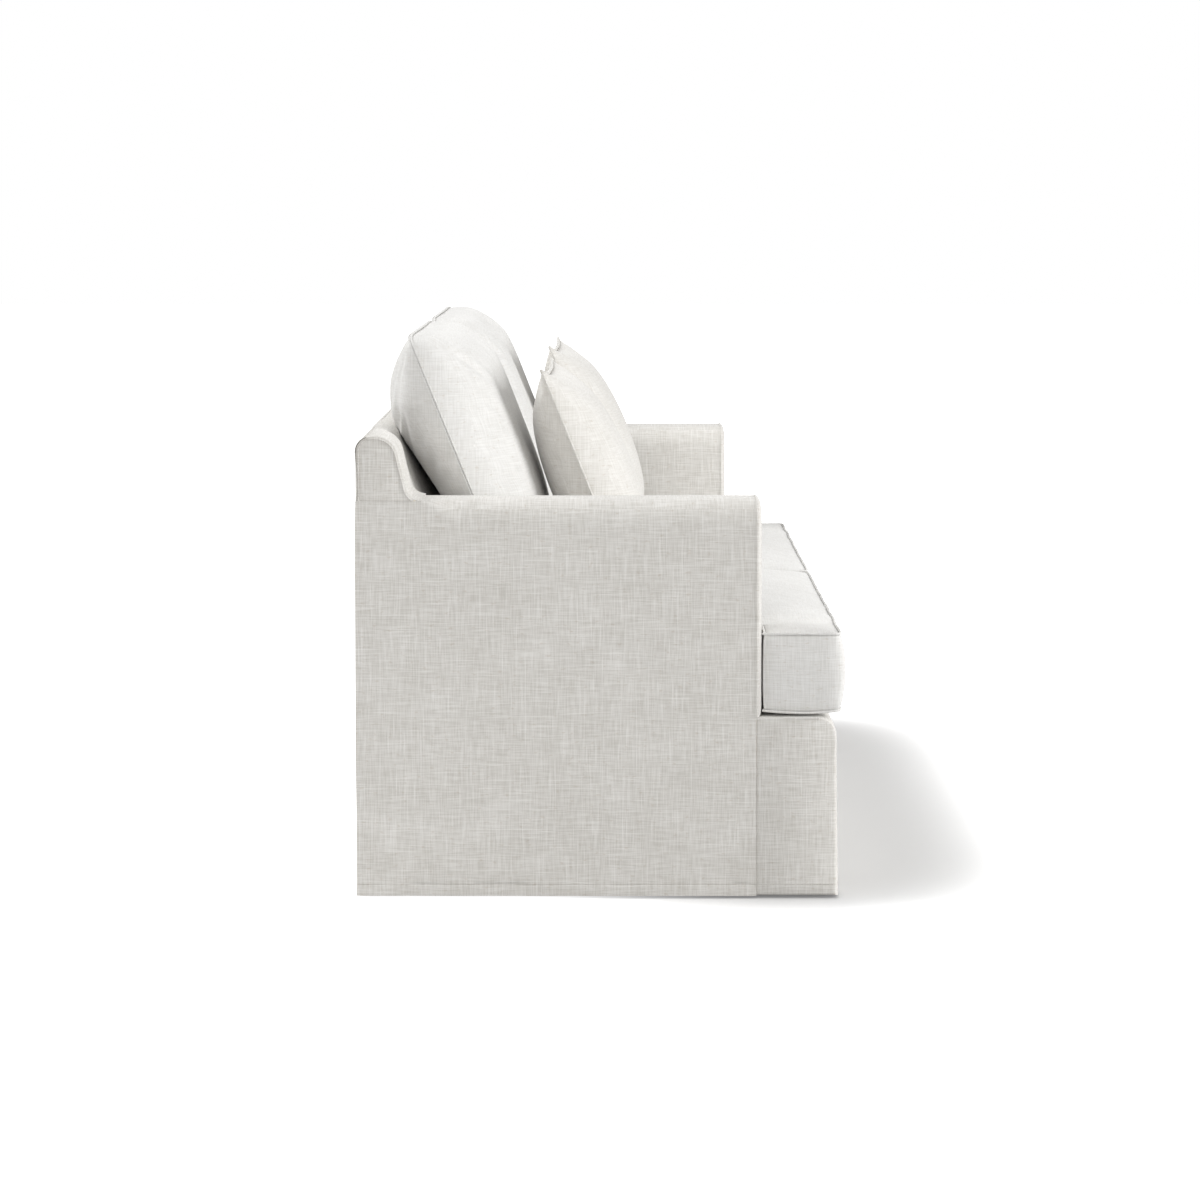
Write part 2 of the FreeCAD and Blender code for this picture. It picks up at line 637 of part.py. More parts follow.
def arm_pad():
    """Foam over the arm frame, closed at the front."""
    foam = along_y(arch(CLOTH, PAD_LOW), SEAM, WING_ROOT)
    return foam.cut(block((place("post_inside"), place("post_front"), PAD_LOW - OVERRUN),
                          (place("post_outside"), WING_ROOT + OVERRUN, place("arm_rail_top"))))


def wing_pad():
    """Foam round the timber at the end of the back."""
    foam = along_x(wing_profile(CLOTH, PAD_LOW), ARM_IN + CLOTH, HALF - CLOTH)
    low, arm_level = PAD_LOW - OVERRUN, place("arm_rail_top")
    top = place("upright_top") + size("top_rail_height")
    post = place("wing_post_front")
    meeting = place("timber_line_at_post")
    room = outline(side_view, [
        (WING_ROOT - OVERRUN, low), (WING_ROOT - OVERRUN, arm_level), (timber_line(arm_level), arm_level),
        (post, meeting), (post, place("upright_top")), (place("timber_at_top"), place("upright_top")),
        (place("timber_at_top"), top), (REAR + OVERRUN, top), (REAR + OVERRUN, low)])
    return foam.cut(along_x(room, place("post_inside"), place("post_outside"))).cut(top_rail.Shape)


keep(shaped("deck_pad", deck_pad()))
keep(shaped("back_pad", back_pad()))
pair("arm_pad", shaped("arm_pad_right", arm_pad()))
pair("wing_pad", shaped("wing_pad_right", wing_pad()))

# Slipcover

REAR_SEAM = TOP - size("back_rear_radius")
HEM = size("hem_clearance")


def inside_back_cover():
    """One width of linen from the deck up the inside of the back and over the roll to the rear seam."""
    outer = along_x(back_profile(0, PAD_TOP), -ARM_IN, ARM_IN)
    inner = along_x(back_profile(CLOTH, PAD_TOP - OVERRUN), -ARM_IN - OVERRUN, ARM_IN + OVERRUN)
    behind = block((-HALF, FRAME_REAR, 0), (HALF, REAR + OVERRUN, REAR_SEAM))
    return outer.cut(inner).cut(behind)


def arm_cover():
    """Linen over the top of the arm and down its inside to the deck."""
    outer = along_y(arch(0, PAD_TOP), SEAM, WING_ROOT)
    inner = along_y(arch(CLOTH, PAD_TOP - OVERRUN), SEAM - OVERRUN, WING_ROOT + OVERRUN)
    below = block((HALF - CLOTH - GAP, SEAM, 0), (HALF + OVERRUN, WING_ROOT, ARM_SHOULDER))
    return outer.cut(inner).cut(below)


def arm_facing():
    """The padded panel on the arm's front, crowned towards its middle."""
    back_edge = arch(0, DECK)
    back_edge.translate(Vector(0, SEAM, 0))
    face_edge = arch(size("facing_inset"), DECK)
    face_edge.translate(Vector(0, place("arm_front"), 0))
    return Part.makeLoft([back_edge, face_edge], True, True)


def wing_cover():
    """The wing's end panel, the band over its front and top, and the inner panel as far as the back."""
    outer = along_x(wing_profile(0, ARM_SHOULDER), ARM_IN, HALF)
    inner = along_x(wing_profile(CLOTH, ARM_SHOULDER - OVERRUN), ARM_IN + CLOTH, HALF - CLOTH)
    behind = block((0, FRAME_REAR, 0), (HALF + OVERRUN, REAR + OVERRUN, REAR_SEAM))
    through = along_x(back_profile(CLOTH, ARM_SHOULDER - OVERRUN), ARM_IN - OVERRUN, ARM_IN + CLOTH)
    return outer.cut(inner).cut(behind).cut(through)


def deck_cover():
    """Linen on the deck, as wide as the sofa in front of the arms."""
    strip = block((-HALF, FRONT + size("deck_edge_radius"), PAD_TOP), (HALF, SEAM, DECK))
    main = block((-ARM_IN, SEAM, PAD_TOP), (ARM_IN, inside_back(PAD_TOP), DECK))
    return strip.fuse(main).removeSplitter()


def front_border():
    """The front panel from the deck's rounded edge to the hem, turned round both corners to the arms."""
    edge = FRONT + size("deck_edge_radius")
    front = along_x(outline(side_view, [(FRONT, HEM), deck_front(0), (edge, PAD_TOP),
                                        (SEAM, PAD_TOP), (SEAM, HEM)]), -HALF, HALF)
    hollow = [(FRAME_FRONT, HEM - OVERRUN), deck_front(CLOTH),
              (SEAM + OVERRUN, PAD_TOP), (SEAM + OVERRUN, HEM - OVERRUN)]
    room = along_x(outline(side_view, hollow), -END, END)
    above = block((-END, edge, PAD_TOP - GAP), (END, SEAM + OVERRUN, DECK + OVERRUN))
    return front.cut(room).cut(above)


keep(shaped("inside_back_cover", inside_back_cover()))
keep(board("outside_back_cover", ("-Places.half_length", "Places.frame_rear", "Sizes.hem_clearance"),
           ("2 * Places.half_length", "Sizes.cloth",
            "Places.back_height - Sizes.back_rear_radius - Sizes.hem_clearance")))
pair("outside_arm_cover", board("outside_arm_cover_right",
                                ("Places.frame_end", "Places.facing_seam", "Sizes.hem_clearance"),
                                ("Sizes.cloth", "Places.frame_rear - Places.facing_seam",
                                 "Sizes.arm_height - Sizes.arm_top_radius - Sizes.hem_clearance")))
pair("arm_cover", shaped("arm_cover_right", arm_cover()))
pair("arm_facing", shaped("arm_facing_right", arm_facing()))
pair("wing_cover", shaped("wing_cover_right", wing_cover()))
keep(shaped("deck_cover", deck_cover()))
keep(shaped("front_border_cover", front_border()))

# Seat cushions: L-shaped box cushions whose return wraps round the front of the arm

SEAT_LOW = DECK + GAP
SEAT_LOWER_WELT = SEAT_LOW + size("seat_lower_welt")
SEAT_MIDDLE = SEAT_LOWER_WELT + size("seat_boxing") / 2
SEAT_UPPER_WELT = SEAT_LOWER_WELT + size("seat_boxing")
SEAT_IN = size("seat_side_gap")
SEAT_OUT = ARM_IN - size("seat_side_gap")
SEAT_RETURN = HALF - size("seat_return_inset")
SEAT_FRONT = FRONT - size("cushion_overhang") + size("seat_front_bulge")
SEAT_SHOULDER = place("arm_front") - size("seat_return_gap")
SEAT_REAR = inside_back(SEAT_LOW) - size("seat_rear_gap")


def seat_ring(level, inset, bulges, side_share=1.0, depth_share=1.0):
    """A level outline of the right cushion. The shares say how much of the return is left."""
    front = SEAT_FRONT + inset
    out = SEAT_OUT - inset
    side = out + (SEAT_RETURN - SEAT_OUT) * side_share
    shoulder = front + (SEAT_SHOULDER - SEAT_FRONT) * depth_share
    corners = ((SEAT_IN + inset, front), (side, front), (side, shoulder), (out, shoulder),
               (out, SEAT_REAR - inset), (SEAT_IN + inset, SEAT_REAR - inset))
    return ring(corners, bulges, level)


def flat_outline(level, inset):
    """The cushion's outline drawn in evenly all round, without any swelling."""
    return seat_ring(level, inset, (0,) * 6, 1, 1 - 2 * inset / (SEAT_SHOULDER - SEAT_FRONT))


# Boxing: share of its height, and how far it has swelled towards its full bulge
SEAT_BOXING_SHARES = ((0.0, 0.0), (0.25, 1.0), (0.75, 1.0), (1.0, 0.0))
# Crown: share of its height, inset as a share of the half depth, shares of the return's width and
# depth that are left, and how far a side swells as a share of the inset
SEAT_CROWN_SHARES = ((0.40, 0.08, 0.90, 0.79, 0.02),
                     (0.74, 0.25, 0.45, 0.46, 0.04),
                     (0.94, 0.50, 0.15, 0.32, 0.06),
                     (1.00, 0.74, 0.06, 0.24, 0.08))


def seat_case_form():
    """Boxing, crown and underside of the right seat cushion in one solid."""
    pull, bulge = size("seat_edge_pull"), size("seat_side_bulge")
    boxing = []
    for height, swelled in SEAT_BOXING_SHARES:
        slack = pull * (1 - swelled)
        front = (size("seat_front_bulge") - bulge) * swelled - slack
        boxing.append(seat_ring(SEAT_LOWER_WELT + size("seat_boxing") * height, -bulge * swelled,
                                (front, bulge * swelled - slack / 2, 0, -slack / 2, -slack / 2, -slack / 2)))
    crown = [boxing[-1]]
    half_depth = (SEAT_REAR - SEAT_FRONT) / 2
    for height, inset_share, side_share, depth_share, swell_share in SEAT_CROWN_SHARES:
        inset = half_depth * inset_share
        swell = inset * swell_share
        crown.append(seat_ring(SEAT_UPPER_WELT + size("seat_crown") * height, inset,
                               (swell, 0, 0, swell, swell, swell), side_share, depth_share))
    floor = flat_outline(SEAT_LOW, size("seat_under_inset"))
    return Part.makeLoft([floor] + boxing + crown[1:], True, True)


def seat_core_form():
    """The foam core: an L-shaped slab inside the wrap."""
    wrap = size("seat_wrap")
    slab = Part.Face(flat_outline(SEAT_LOW + wrap, wrap))
    return slab.extrude(Vector(0, 0, SEAT_UPPER_WELT - SEAT_LOW - 2 * wrap))


# The zip lies in a placket across the rear boxing of the seat cushion

ZIP_START = SEAT_IN + size("zip_end_margin")
ZIP_END = SEAT_OUT - size("zip_end_margin")
ZIP_FLOOR = SEAT_REAR - size("zip_channel_depth")


def zip_placket():
    half = size("zip_channel_height") / 2
    return block((ZIP_START, ZIP_FLOOR, SEAT_MIDDLE - half),
                 (ZIP_END, SEAT_REAR + OVERRUN, SEAT_MIDDLE + half))


def zip_tape():
    """Tape with its closed teeth along the middle."""
    half, thick = size("zip_tape_height") / 2, size("zip_tape_thickness")
    teeth = size("zip_chain_height") / 2
    tape = block((ZIP_START, ZIP_FLOOR, SEAT_MIDDLE - half),
                 (ZIP_END, ZIP_FLOOR + thick, SEAT_MIDDLE + half))
    chain = block((ZIP_START, ZIP_FLOOR + thick, SEAT_MIDDLE - teeth),
                  (ZIP_END, ZIP_FLOOR + thick + size("zip_chain_thickness"), SEAT_MIDDLE + teeth))
    return tape.fuse(chain).removeSplitter()


def zip_slider():
    """Slider that straddles the teeth, with its pull tab lying along the tape."""
    half, teeth = size("zip_slider_height") / 2, size("zip_chain_height") / 2 + GAP
    low = ZIP_FLOOR + size("zip_tape_thickness") + GAP
    roof = low + size("zip_chain_thickness")
    back = roof + size("zip_slider_wall")
    start = ZIP_START + GAP
    body = block((start, low, SEAT_MIDDLE - half),
                 (start + size("zip_slider_length"), back, SEAT_MIDDLE + half))
    slot = block((start - OVERRUN, low - OVERRUN, SEAT_MIDDLE - teeth),
                 (start + size("zip_slider_length") + OVERRUN, roof, SEAT_MIDDLE + teeth))
    tab_start = start + size("zip_slider_length") / 2
    tab = block((tab_start, back, SEAT_MIDDLE - size("zip_pull_width") / 2),
                (tab_start + size("zip_pull_length"), back + size("zip_pull_thickness"),
                 SEAT_MIDDLE + size("zip_pull_width") / 2))
    return body.cut(slot).fuse(tab).removeSplitter()


seat_core = seat_core_form()
seat_case = seat_case_form().cut(seat_core).cut(zip_placket())
pair("seat_cushion_case", shaped("seat_cushion_case_right", seat_case))
pair("seat_cushion_core", shaped("seat_cushion_core_right", seat_core))
pair("seat_zip", shaped("seat_zip_right", zip_tape()))
pair("zip_slider", shaped("zip_slider_right", zip_slider()))

# Back cushions and throw pillows: two panels sewn at a knife edge and plumped out.
# Each is made lying flat, X across, Y up its height and Z to its front, and then leant back.


def swollen(half, spread, crown, seam_angle, crown_angle):
    """One side of a plump section, seam to seam: a shoulder, a shallow crown, a shoulder."""
    steep, shallow = math.radians(seam_angle), math.radians(crown_angle)
    run = math.sin(steep) - math.sin(shallow)
    rise = math.cos(shallow) - math.cos(steep)
    flat_rise = 1 - math.cos(shallow)
    shoulder = (crown * math.sin(shallow) - half * flat_rise) / (rise * math.sin(shallow) - run * flat_rise)
    top = (half - shoulder * run) / math.sin(shallow)
    across = half + spread
    foot = shoulder * math.sin(steep)
    depth = shoulder * math.cos(steep)
    return [arc(side_view, (foot - across, -depth), shoulder, 90 + seam_angle, 90 + crown_angle),
            arc(side_view, (-spread, crown - top), top, 90 + crown_angle, 90),
            arc(side_view, (spread, crown - top), top, 90, 90 - crown_angle),
            arc(side_view, (across - foot, -depth), shoulder, 90 - crown_angle, 90 - seam_angle)]


def lens(half, spread, front, rear, rear_angles):
    """Section of a knife-edged cushion: its plump front and its rear meet at the seams."""
    plump = (size("plump_seam_angle"), size("plump_crown_angle"))
    behind = outline(side_view, swollen(half, spread, rear, *rear_angles))
    behind.rotate(Vector(0, 0, 0), Vector(1, 0, 0), 180)
    before = Part.Face(outline(side_view, swollen(half, spread, front, *plump)))
    return before.fuse(Part.Face(behind)).removeSplitter().Faces[0]


def knife_edged(width, height, front, rear, rear_angles):
    """The section across and the section up the height, each run through, and what they share."""
    half, spread = height / 2, (width - height) / 2
    upright = lens(half, 0, front, rear, rear_angles)
    upright.translate(Vector(-width / 2, 0, 0))
    level = lens(half, spread, front, rear, rear_angles)
    level.rotate(Vector(0, 0, 0), Vector(0, 0, 1), 90)
    level.translate(Vector(0, -half, 0))
    form = upright.extrude(Vector(width, 0, 0)).common(level.extrude(Vector(0, height, 0)))
    form.translate(Vector(0, half, 0))
    return form.Solids[0]


def fill(width, height, front, rear, wrap):
    """The fill's inner bag: a bolster with bevelled long edges."""
    high, deep, back = height - 2 * wrap, front / 2, rear / 2
    bevel = deep / 2
    profile = [(wrap, deep - bevel), (wrap, bevel - back), (wrap + bevel, -back),
               (wrap + high - bevel, -back), (wrap + high, bevel - back), (wrap + high, deep - bevel),
               (wrap + high - bevel, deep), (wrap + bevel, deep)]
    return along_x(outline(side_view, profile), wrap - width / 2, width / 2 - wrap)


UP_THE_LEAN = Vector(0, math.sin(LEAN), math.cos(LEAN))


def leant(shape, middle, seam_offset, level, yaw=0):
    """The lying shape leant back, its lower seam at a level, its seam plane off the inside back."""
    standing = shape.copy()
    standing.rotate(Vector(0, 0, 0), Vector(1, 0, 0), 90 - size("back_lean"))
    standing.rotate(Vector(0, 0, 0), Vector(0, 0, 1), yaw)
    standing.translate(Vector(middle, inside_back(level) - seam_offset / math.cos(LEAN), level))
    return standing


def settled(shape, support):
    """How far a leant cushion comes down along its lean until it rests just above what carries it."""
    moved, travel = shape.copy(), 0.0
    gap = moved.distToShape(support)[0]
    while gap > size("rest_gap") + size("rest_play"):
        step = gap - size("rest_gap")
        moved.translate(UP_THE_LEAN * -step)
        travel += step
        gap = moved.distToShape(support)[0]
    return travel


def cushion(lying, bag, middle, offset, support, yaw=0):
    """Case and fill of a leant cushion, let down onto what carries it."""
    form = leant(lying, middle, offset, START_LEVEL, yaw)
    inside = leant(bag, middle, offset, START_LEVEL, yaw)
    down = UP_THE_LEAN * -settled(form, support)
    form.translate(down)
    inside.translate(down)
    return form.cut(inside), inside


START_LEVEL = SEAT_UPPER_WELT + 3 * size("seat_crown")
BACK_WIDTH = ARM_IN - size("back_cushion_gap") - size("back_cushion_end")
BACK_SIZES = (BACK_WIDTH, size("back_cushion_height"), size("back_cushion_front"), size("back_cushion_rear"))
BACK_OFFSET = size("back_cushion_rear") + GAP
PILLOW = size("pillow_size")
PILLOW_SIZES = (PILLOW, PILLOW, size("pillow_crown"), size("pillow_crown"))
PILLOW_OFFSET = BACK_OFFSET + size("back_cushion_front") + size("pillow_gap") + size("pillow_crown")
PLUMP_ANGLES = (size("plump_seam_angle"), size("plump_crown_angle"))
REAR_ANGLES = (size("rear_seam_angle"), size("rear_crown_angle"))

seat_form = seat_case_form()
back_case, back_fill = cushion(knife_edged(*BACK_SIZES, REAR_ANGLES),
                               fill(*BACK_SIZES, size("back_cushion_wrap")),
                               size("back_cushion_gap") + BACK_WIDTH / 2, BACK_OFFSET, seat_form)
pair("back_cushion_case", shaped("back_cushion_case_right", back_case))
pair("back_cushion_fill", shaped("back_cushion_fill_right", back_fill))

pillow_form = knife_edged(*PILLOW_SIZES, PLUMP_ANGLES)
pillow_bag = fill(*PILLOW_SIZES, size("pillow_wrap"))
pillow_middle = size("pillow_inner") + PILLOW / 2
for hand, middle, carrier in (("right", pillow_middle, seat_form),
                              ("left", -pillow_middle, seat_form.mirror(Vector(0, 0, 0), Vector(1, 0, 0)))):
    pillow_case, pillow_fill = cushion(pillow_form, pillow_bag, middle, PILLOW_OFFSET, carrier,
                                       -size("pillow_yaw"))
    keep(shaped("pillow_case_" + hand, pillow_case))
    keep(shaped("pillow_fill_" + hand, pillow_fill))

# Every object must have recomputed and every piece must be a valid shape before any file is written

doc.recompute()
for item in doc.Objects:
    if "Invalid" in item.State or "Error" in item.State:
        raise RuntimeError("%s did not recompute: %s" % (item.Label, item.State))
for piece in parts:
    if piece.Shape.isNull() or not piece.Shape.isValid():
        raise RuntimeError("%s has no valid shape" % piece.Label)

os.makedirs("parts", exist_ok=True)
for piece in parts:
    piece.Shape.exportStep("parts/%s.step" % piece.Label)
print(len(parts), "pieces")
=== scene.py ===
import math
import bmesh
import bpy
from mathutils import Matrix, Vector, noise


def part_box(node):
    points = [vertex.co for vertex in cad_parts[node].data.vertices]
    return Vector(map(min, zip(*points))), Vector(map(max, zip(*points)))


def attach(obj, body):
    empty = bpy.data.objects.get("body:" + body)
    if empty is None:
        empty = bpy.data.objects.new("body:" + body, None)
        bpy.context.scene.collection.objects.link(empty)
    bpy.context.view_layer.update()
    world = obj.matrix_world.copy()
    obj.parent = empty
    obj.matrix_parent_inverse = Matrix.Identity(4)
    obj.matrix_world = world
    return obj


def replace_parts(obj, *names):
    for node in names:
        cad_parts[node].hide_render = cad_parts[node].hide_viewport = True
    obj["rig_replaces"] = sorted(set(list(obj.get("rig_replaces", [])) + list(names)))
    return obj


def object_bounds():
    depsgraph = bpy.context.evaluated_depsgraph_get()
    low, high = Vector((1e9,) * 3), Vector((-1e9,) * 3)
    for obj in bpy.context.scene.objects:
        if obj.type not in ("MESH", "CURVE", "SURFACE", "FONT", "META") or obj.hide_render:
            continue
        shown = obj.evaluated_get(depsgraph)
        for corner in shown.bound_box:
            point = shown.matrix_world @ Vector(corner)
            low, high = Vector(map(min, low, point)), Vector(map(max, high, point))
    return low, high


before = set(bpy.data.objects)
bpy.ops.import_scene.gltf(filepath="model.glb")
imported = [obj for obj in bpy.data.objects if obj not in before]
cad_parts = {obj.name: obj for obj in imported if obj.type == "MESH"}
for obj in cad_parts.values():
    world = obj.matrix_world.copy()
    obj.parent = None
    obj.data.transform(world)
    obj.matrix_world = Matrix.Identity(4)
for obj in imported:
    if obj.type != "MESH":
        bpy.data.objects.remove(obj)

cad_low, cad_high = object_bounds()
scene = bpy.context.scene

# Camera: a long lens about six metres from the sofa's left-hand end, a little above the cushions, as the
# photograph was taken. It looks along the sofa and slightly down, with a small shift for the framing.
CAMERA_PLACE = (-6.902, -0.006, 1.1989)
CAMERA_DOWN, CAMERA_ASIDE = 3.54, 0.082
CAMERA_SHIFT = 0.16
CAMERA_LENS = 105.35
lens_data = bpy.data.cameras.new("camera")
lens_data.sensor_width = 36
lens_data.lens = CAMERA_LENS
lens_data.shift_y = -CAMERA_SHIFT
lens_data.clip_end = 100
camera = bpy.data.objects.new("camera", lens_data)
camera.location = CAMERA_PLACE
camera.rotation_euler = [math.radians(turn) for turn in (90 - CAMERA_DOWN, 0, -90 + CAMERA_ASIDE)]
scene.collection.objects.link(camera)
scene.camera = camera

# Nodes: the floor, the room and every material are wired with these. A socket goes by its name or its
# number, and takes a plain value or another node's output.


def wire(tree, item, sockets):
    """Sets or links each of these sockets of a node."""
    for spot, value in dict(sockets).items():
        if isinstance(value, bpy.types.NodeSocket):
            tree.links.new(value, item.inputs[spot])
        else:
            item.inputs[spot].default_value = value


def put(tree, kind, sockets=(), **settings):
    """Adds a shader node with its settings and its sockets, and gives its outputs."""
    made = tree.nodes.new("ShaderNode" + kind)
    for word, value in settings.items():
        setattr(made, word, value)
    wire(tree, made, sockets)
    return made.outputs


def math_of(tree, operation, *numbers):
    """A sum of masks and numbers."""
    return put(tree, "Math", enumerate(numbers), operation=operation)[0]


def mixed(tree, share, under, over):
    """One colour laid over another by a mask."""
    return put(tree, "Mix", {"Factor": share, 6: under, 7: over}, data_type="RGBA")[2]


def blank(owner):
    """The node tree of a material or a world, with nothing in it."""
    owner.use_nodes = True
    owner.node_tree.nodes.clear()
    return owner.node_tree


def new_paint(name):
    """A material, its node tree and its shader."""
    made = bpy.data.materials.new(name)
    made.use_nodes = True
    return made, made.node_tree, made.node_tree.nodes["Principled BSDF"]


SOCKET_KINDS = {"Wood": "Vector", "Cloth": "Vector", "Light": "Color", "Dark": "Color", "Colour": "Color"}


def texture_group(name, *takes):
    """A node group that gives a colour, a roughness and a relief, with its own two ends."""
    made = bpy.data.node_groups.new(name, "ShaderNodeTree")
    for way, words in (("INPUT", takes), ("OUTPUT", ("Colour", "Roughness", "Relief"))):
        for word in words:
            kind = SOCKET_KINDS.get(word, "Float")
            made.interface.new_socket(word, in_out=way, socket_type="NodeSocket" + kind)
    return made, made.nodes.new("NodeGroupInput").outputs, made.nodes.new("NodeGroupOutput")


# Floor and light: a pale studio floor that runs out to white, a bright room all round, and three wide soft
# lamps, in front of the sofa, high behind it and off its left-hand end. A soft oval before the skirt holds a
# painted shadow: there the floor's glow is dimmed, which darkens it beyond the shade the lamps cast.
SHADE_LONG, SHADE_DEEP, SHADE_Y = 1.12, 0.41, -0.32
SHADE_GLOW = 0.13
SHADE_INNER, SHADE_OUTER = 0.25, 1.60
ROOM_LIGHT = 0.50
WHITE = (1, 1, 1, 1)
bpy.ops.object.select_all(action="DESELECT")
bpy.ops.mesh.primitive_plane_add(size=60, location=(0, 0, -0.0005))
floor = bpy.context.object
floor.name = "floor"
floor_paint = bpy.data.materials.new("floor_white_with_painted_shadow")
tree = blank(floor_paint)
oval = put(tree, "Mapping", {"Vector": put(tree, "TexCoord")["Object"],
                             "Scale": (1 / SHADE_LONG, 1 / SHADE_DEEP, 1),
                             "Location": (0, -SHADE_Y / SHADE_DEEP, 0)})[0]
away = put(tree, "SeparateXYZ", {0: put(tree, "VectorMath", {0: oval}, operation="ABSOLUTE")[0]})
far = math_of(tree, "ADD", math_of(tree, "POWER", away[0], 6.0), math_of(tree, "POWER", away[1], 2.0))
# painted shadow: the floor's glow falls to SHADE_GLOW inside the oval, which darkens the floor before the
# skirt
glow = put(tree, "MapRange", {"Value": far, "From Min": SHADE_INNER, "From Max": SHADE_OUTER,
                              "To Min": SHADE_GLOW, "To Max": 1.0}, interpolation_type="SMOOTHSTEP")[0]
seen_glow_with_painted_shadow = math_of(tree, "MULTIPLY", put(tree, "LightPath")["Is Camera Ray"], glow)
matte = put(tree, "BsdfDiffuse", {"Color": (0.90, 0.90, 0.90, 1)})[0]
lift = put(tree, "Emission", {"Strength": seen_glow_with_painted_shadow})[0]
put(tree, "OutputMaterial", {"Surface": put(tree, "AddShader", {0: matte, 1: lift})[0]})
floor.data.materials.append(floor_paint)

room = bpy.data.worlds.new("studio")
scene.world = room
tree = blank(room)
room_light = put(tree, "Background", {"Color": WHITE, "Strength": ROOM_LIGHT})[0]
room_seen = put(tree, "Background", {"Color": WHITE, "Strength": 1.0})[0]
room_mix = put(tree, "MixShader", {"Fac": put(tree, "LightPath")["Is Camera Ray"],
                                   1: room_light, 2: room_seen})[0]
put(tree, "OutputWorld", {"Surface": room_mix})


def lamp(name, place, aim, size, watts, tint=(1.0, 1.0, 1.0)):
    """A square soft lamp that shines from a place at a point."""
    data = bpy.data.lights.new(name, "AREA")
    data.energy = watts
    data.size = size
    data.color = tint
    item = bpy.data.objects.new(name, data)
    scene.collection.objects.link(item)
    item.location = place
    item.rotation_euler = (Vector(aim) - Vector(place)).to_track_quat("-Z", "Y").to_euler()
    return item


fill_lamp = lamp("front_fill", (-1.2, -4.6, 1.7), (0, 0, 0.6), 2.8, 195)
lamp("rear_lamp", (0.1, 2.6, 3.3), (0.2, 0, 0.5), 2.4, 85)
end_lamp = lamp("end_lamp", (-6.5, 0.9, 2.6), (-0.6, 0, 0.7), 3.0, 104, (1.0, 0.99, 0.98))
# the lamps in front and at the end leave the floor alone, so that the shade before the skirt stays
unlit = bpy.data.collections.new("left_out_of_the_fill")
unlit.objects.link(floor)
fill_lamp.light_linking.receiver_collection = unlit
end_lamp.light_linking.receiver_collection = unlit
unlit.collection_objects[0].light_linking.link_state = "EXCLUDE"
scene.view_settings.view_transform = "Standard"

# Frame: hardwood rails, posts and blocks glued and screwed together, with short turned-in legs that the
# skirt hides. Steel bolts hold the legs. The grain runs along each rail.
grain, grain_in, grain_out = texture_group("wood_grain", "Wood", "Light", "Dark")
year_rings = put(grain, "TexNoise", {"Vector": grain_in["Wood"], "Scale": 1.0,
                                     "Detail": 6.0, "Distortion": 0.6})[0]
ring_spread = put(grain, "MapRange", {"Value": year_rings, "From Min": 0.35, "From Max": 0.65})[0]
ring_rough = put(grain, "MapRange", {"Value": ring_spread, "To Min": 0.70, "To Max": 0.50})[0]
ring_colour = mixed(grain, ring_spread, grain_in["Dark"], grain_in["Light"])
wire(grain, grain_out, {"Colour": ring_colour, "Roughness": ring_rough, "Relief": ring_spread})


def wood(name, light, dark, stretch):
    """A wood whose grain is drawn out along one way: how many rings to the metre each way."""
    made, tree, shader = new_paint(name)
    laid = put(tree, "Mapping", {"Vector": put(tree, "TexCoord")["Object"], "Scale": stretch})[0]
    figure = put(tree, "Group", {"Wood": laid, "Light": (*light, 1), "Dark": (*dark, 1)}, node_tree=grain)
    pores = put(tree, "Bump", {"Strength": 0.25, "Distance": 0.0005, "Height": figure["Relief"]})[0]
    wire(tree, shader, {"Base Color": figure["Colour"], "Roughness": figure["Roughness"], "Normal": pores})
    return made


def speckled(name, light, dark, specks, rough, metallic=0.0, relief=0.3):
    """A plain stuff with so many uneven specks to the metre: foam, fibre, felt or metal."""
    made, tree, shader = new_paint(name)
    laid = put(tree, "Mapping", {"Vector": put(tree, "TexCoord")["Object"], "Scale": [specks] * 3})[0]
    spots = put(tree, "TexNoise", {"Vector": laid, "Scale": 1.0, "Detail": 3.0})[0]
    tone = mixed(tree, spots, (*dark, 1), (*light, 1))
    polish = put(tree, "MapRange", {"Value": spots, "To Min": rough + 0.06, "To Max": rough - 0.06})[0]
    dents = put(tree, "Bump", {"Strength": relief, "Distance": 0.0004, "Height": spots})[0]
    wire(tree, shader, {"Base Color": tone, "Roughness": polish, "Metallic": metallic, "Normal": dents})
    return made


def repaint(material, *names):
    """Gives every CAD node whose name starts with one of these a better material."""
    for name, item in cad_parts.items():
        if name.startswith(names):
            for place in item.material_slots:
                place.material = material


RAIL_WOOD = ((0.62, 0.47, 0.31), (0.45, 0.32, 0.20))
LEG_WOOD = ((0.115, 0.070, 0.042), (0.055, 0.032, 0.020))
ALONG, ACROSS, ALONG_LEG, ACROSS_LEG = 6, 160, 9, 190
wood_along = wood("hardwood_along", *RAIL_WOOD, (ALONG, ACROSS, ACROSS))
wood_deep = wood("hardwood_deep", *RAIL_WOOD, (ACROSS, ALONG, ACROSS))
wood_up = wood("hardwood_up", *RAIL_WOOD, (ACROSS, ACROSS, ALONG))
leg_stain = wood("leg_stained", *LEG_WOOD, (ACROSS_LEG, ACROSS_LEG, ALONG_LEG))
repaint(wood_along, "front_rail", "back_rail", "tack_rail", "back_top_rail")
repaint(wood_deep, "side_rail", "centre_stretcher", "arm_top_rail")
repaint(wood_up, "corner_blocks", "arm_post", "wing_post", "back_upright")
repaint(leg_stain, "leg_front", "leg_rear")
repaint(speckled("bolt_steel", (0.66, 0.67, 0.69), (0.52, 0.53, 0.55), 900, 0.32, 1.0, 0.1), "leg_bolts")

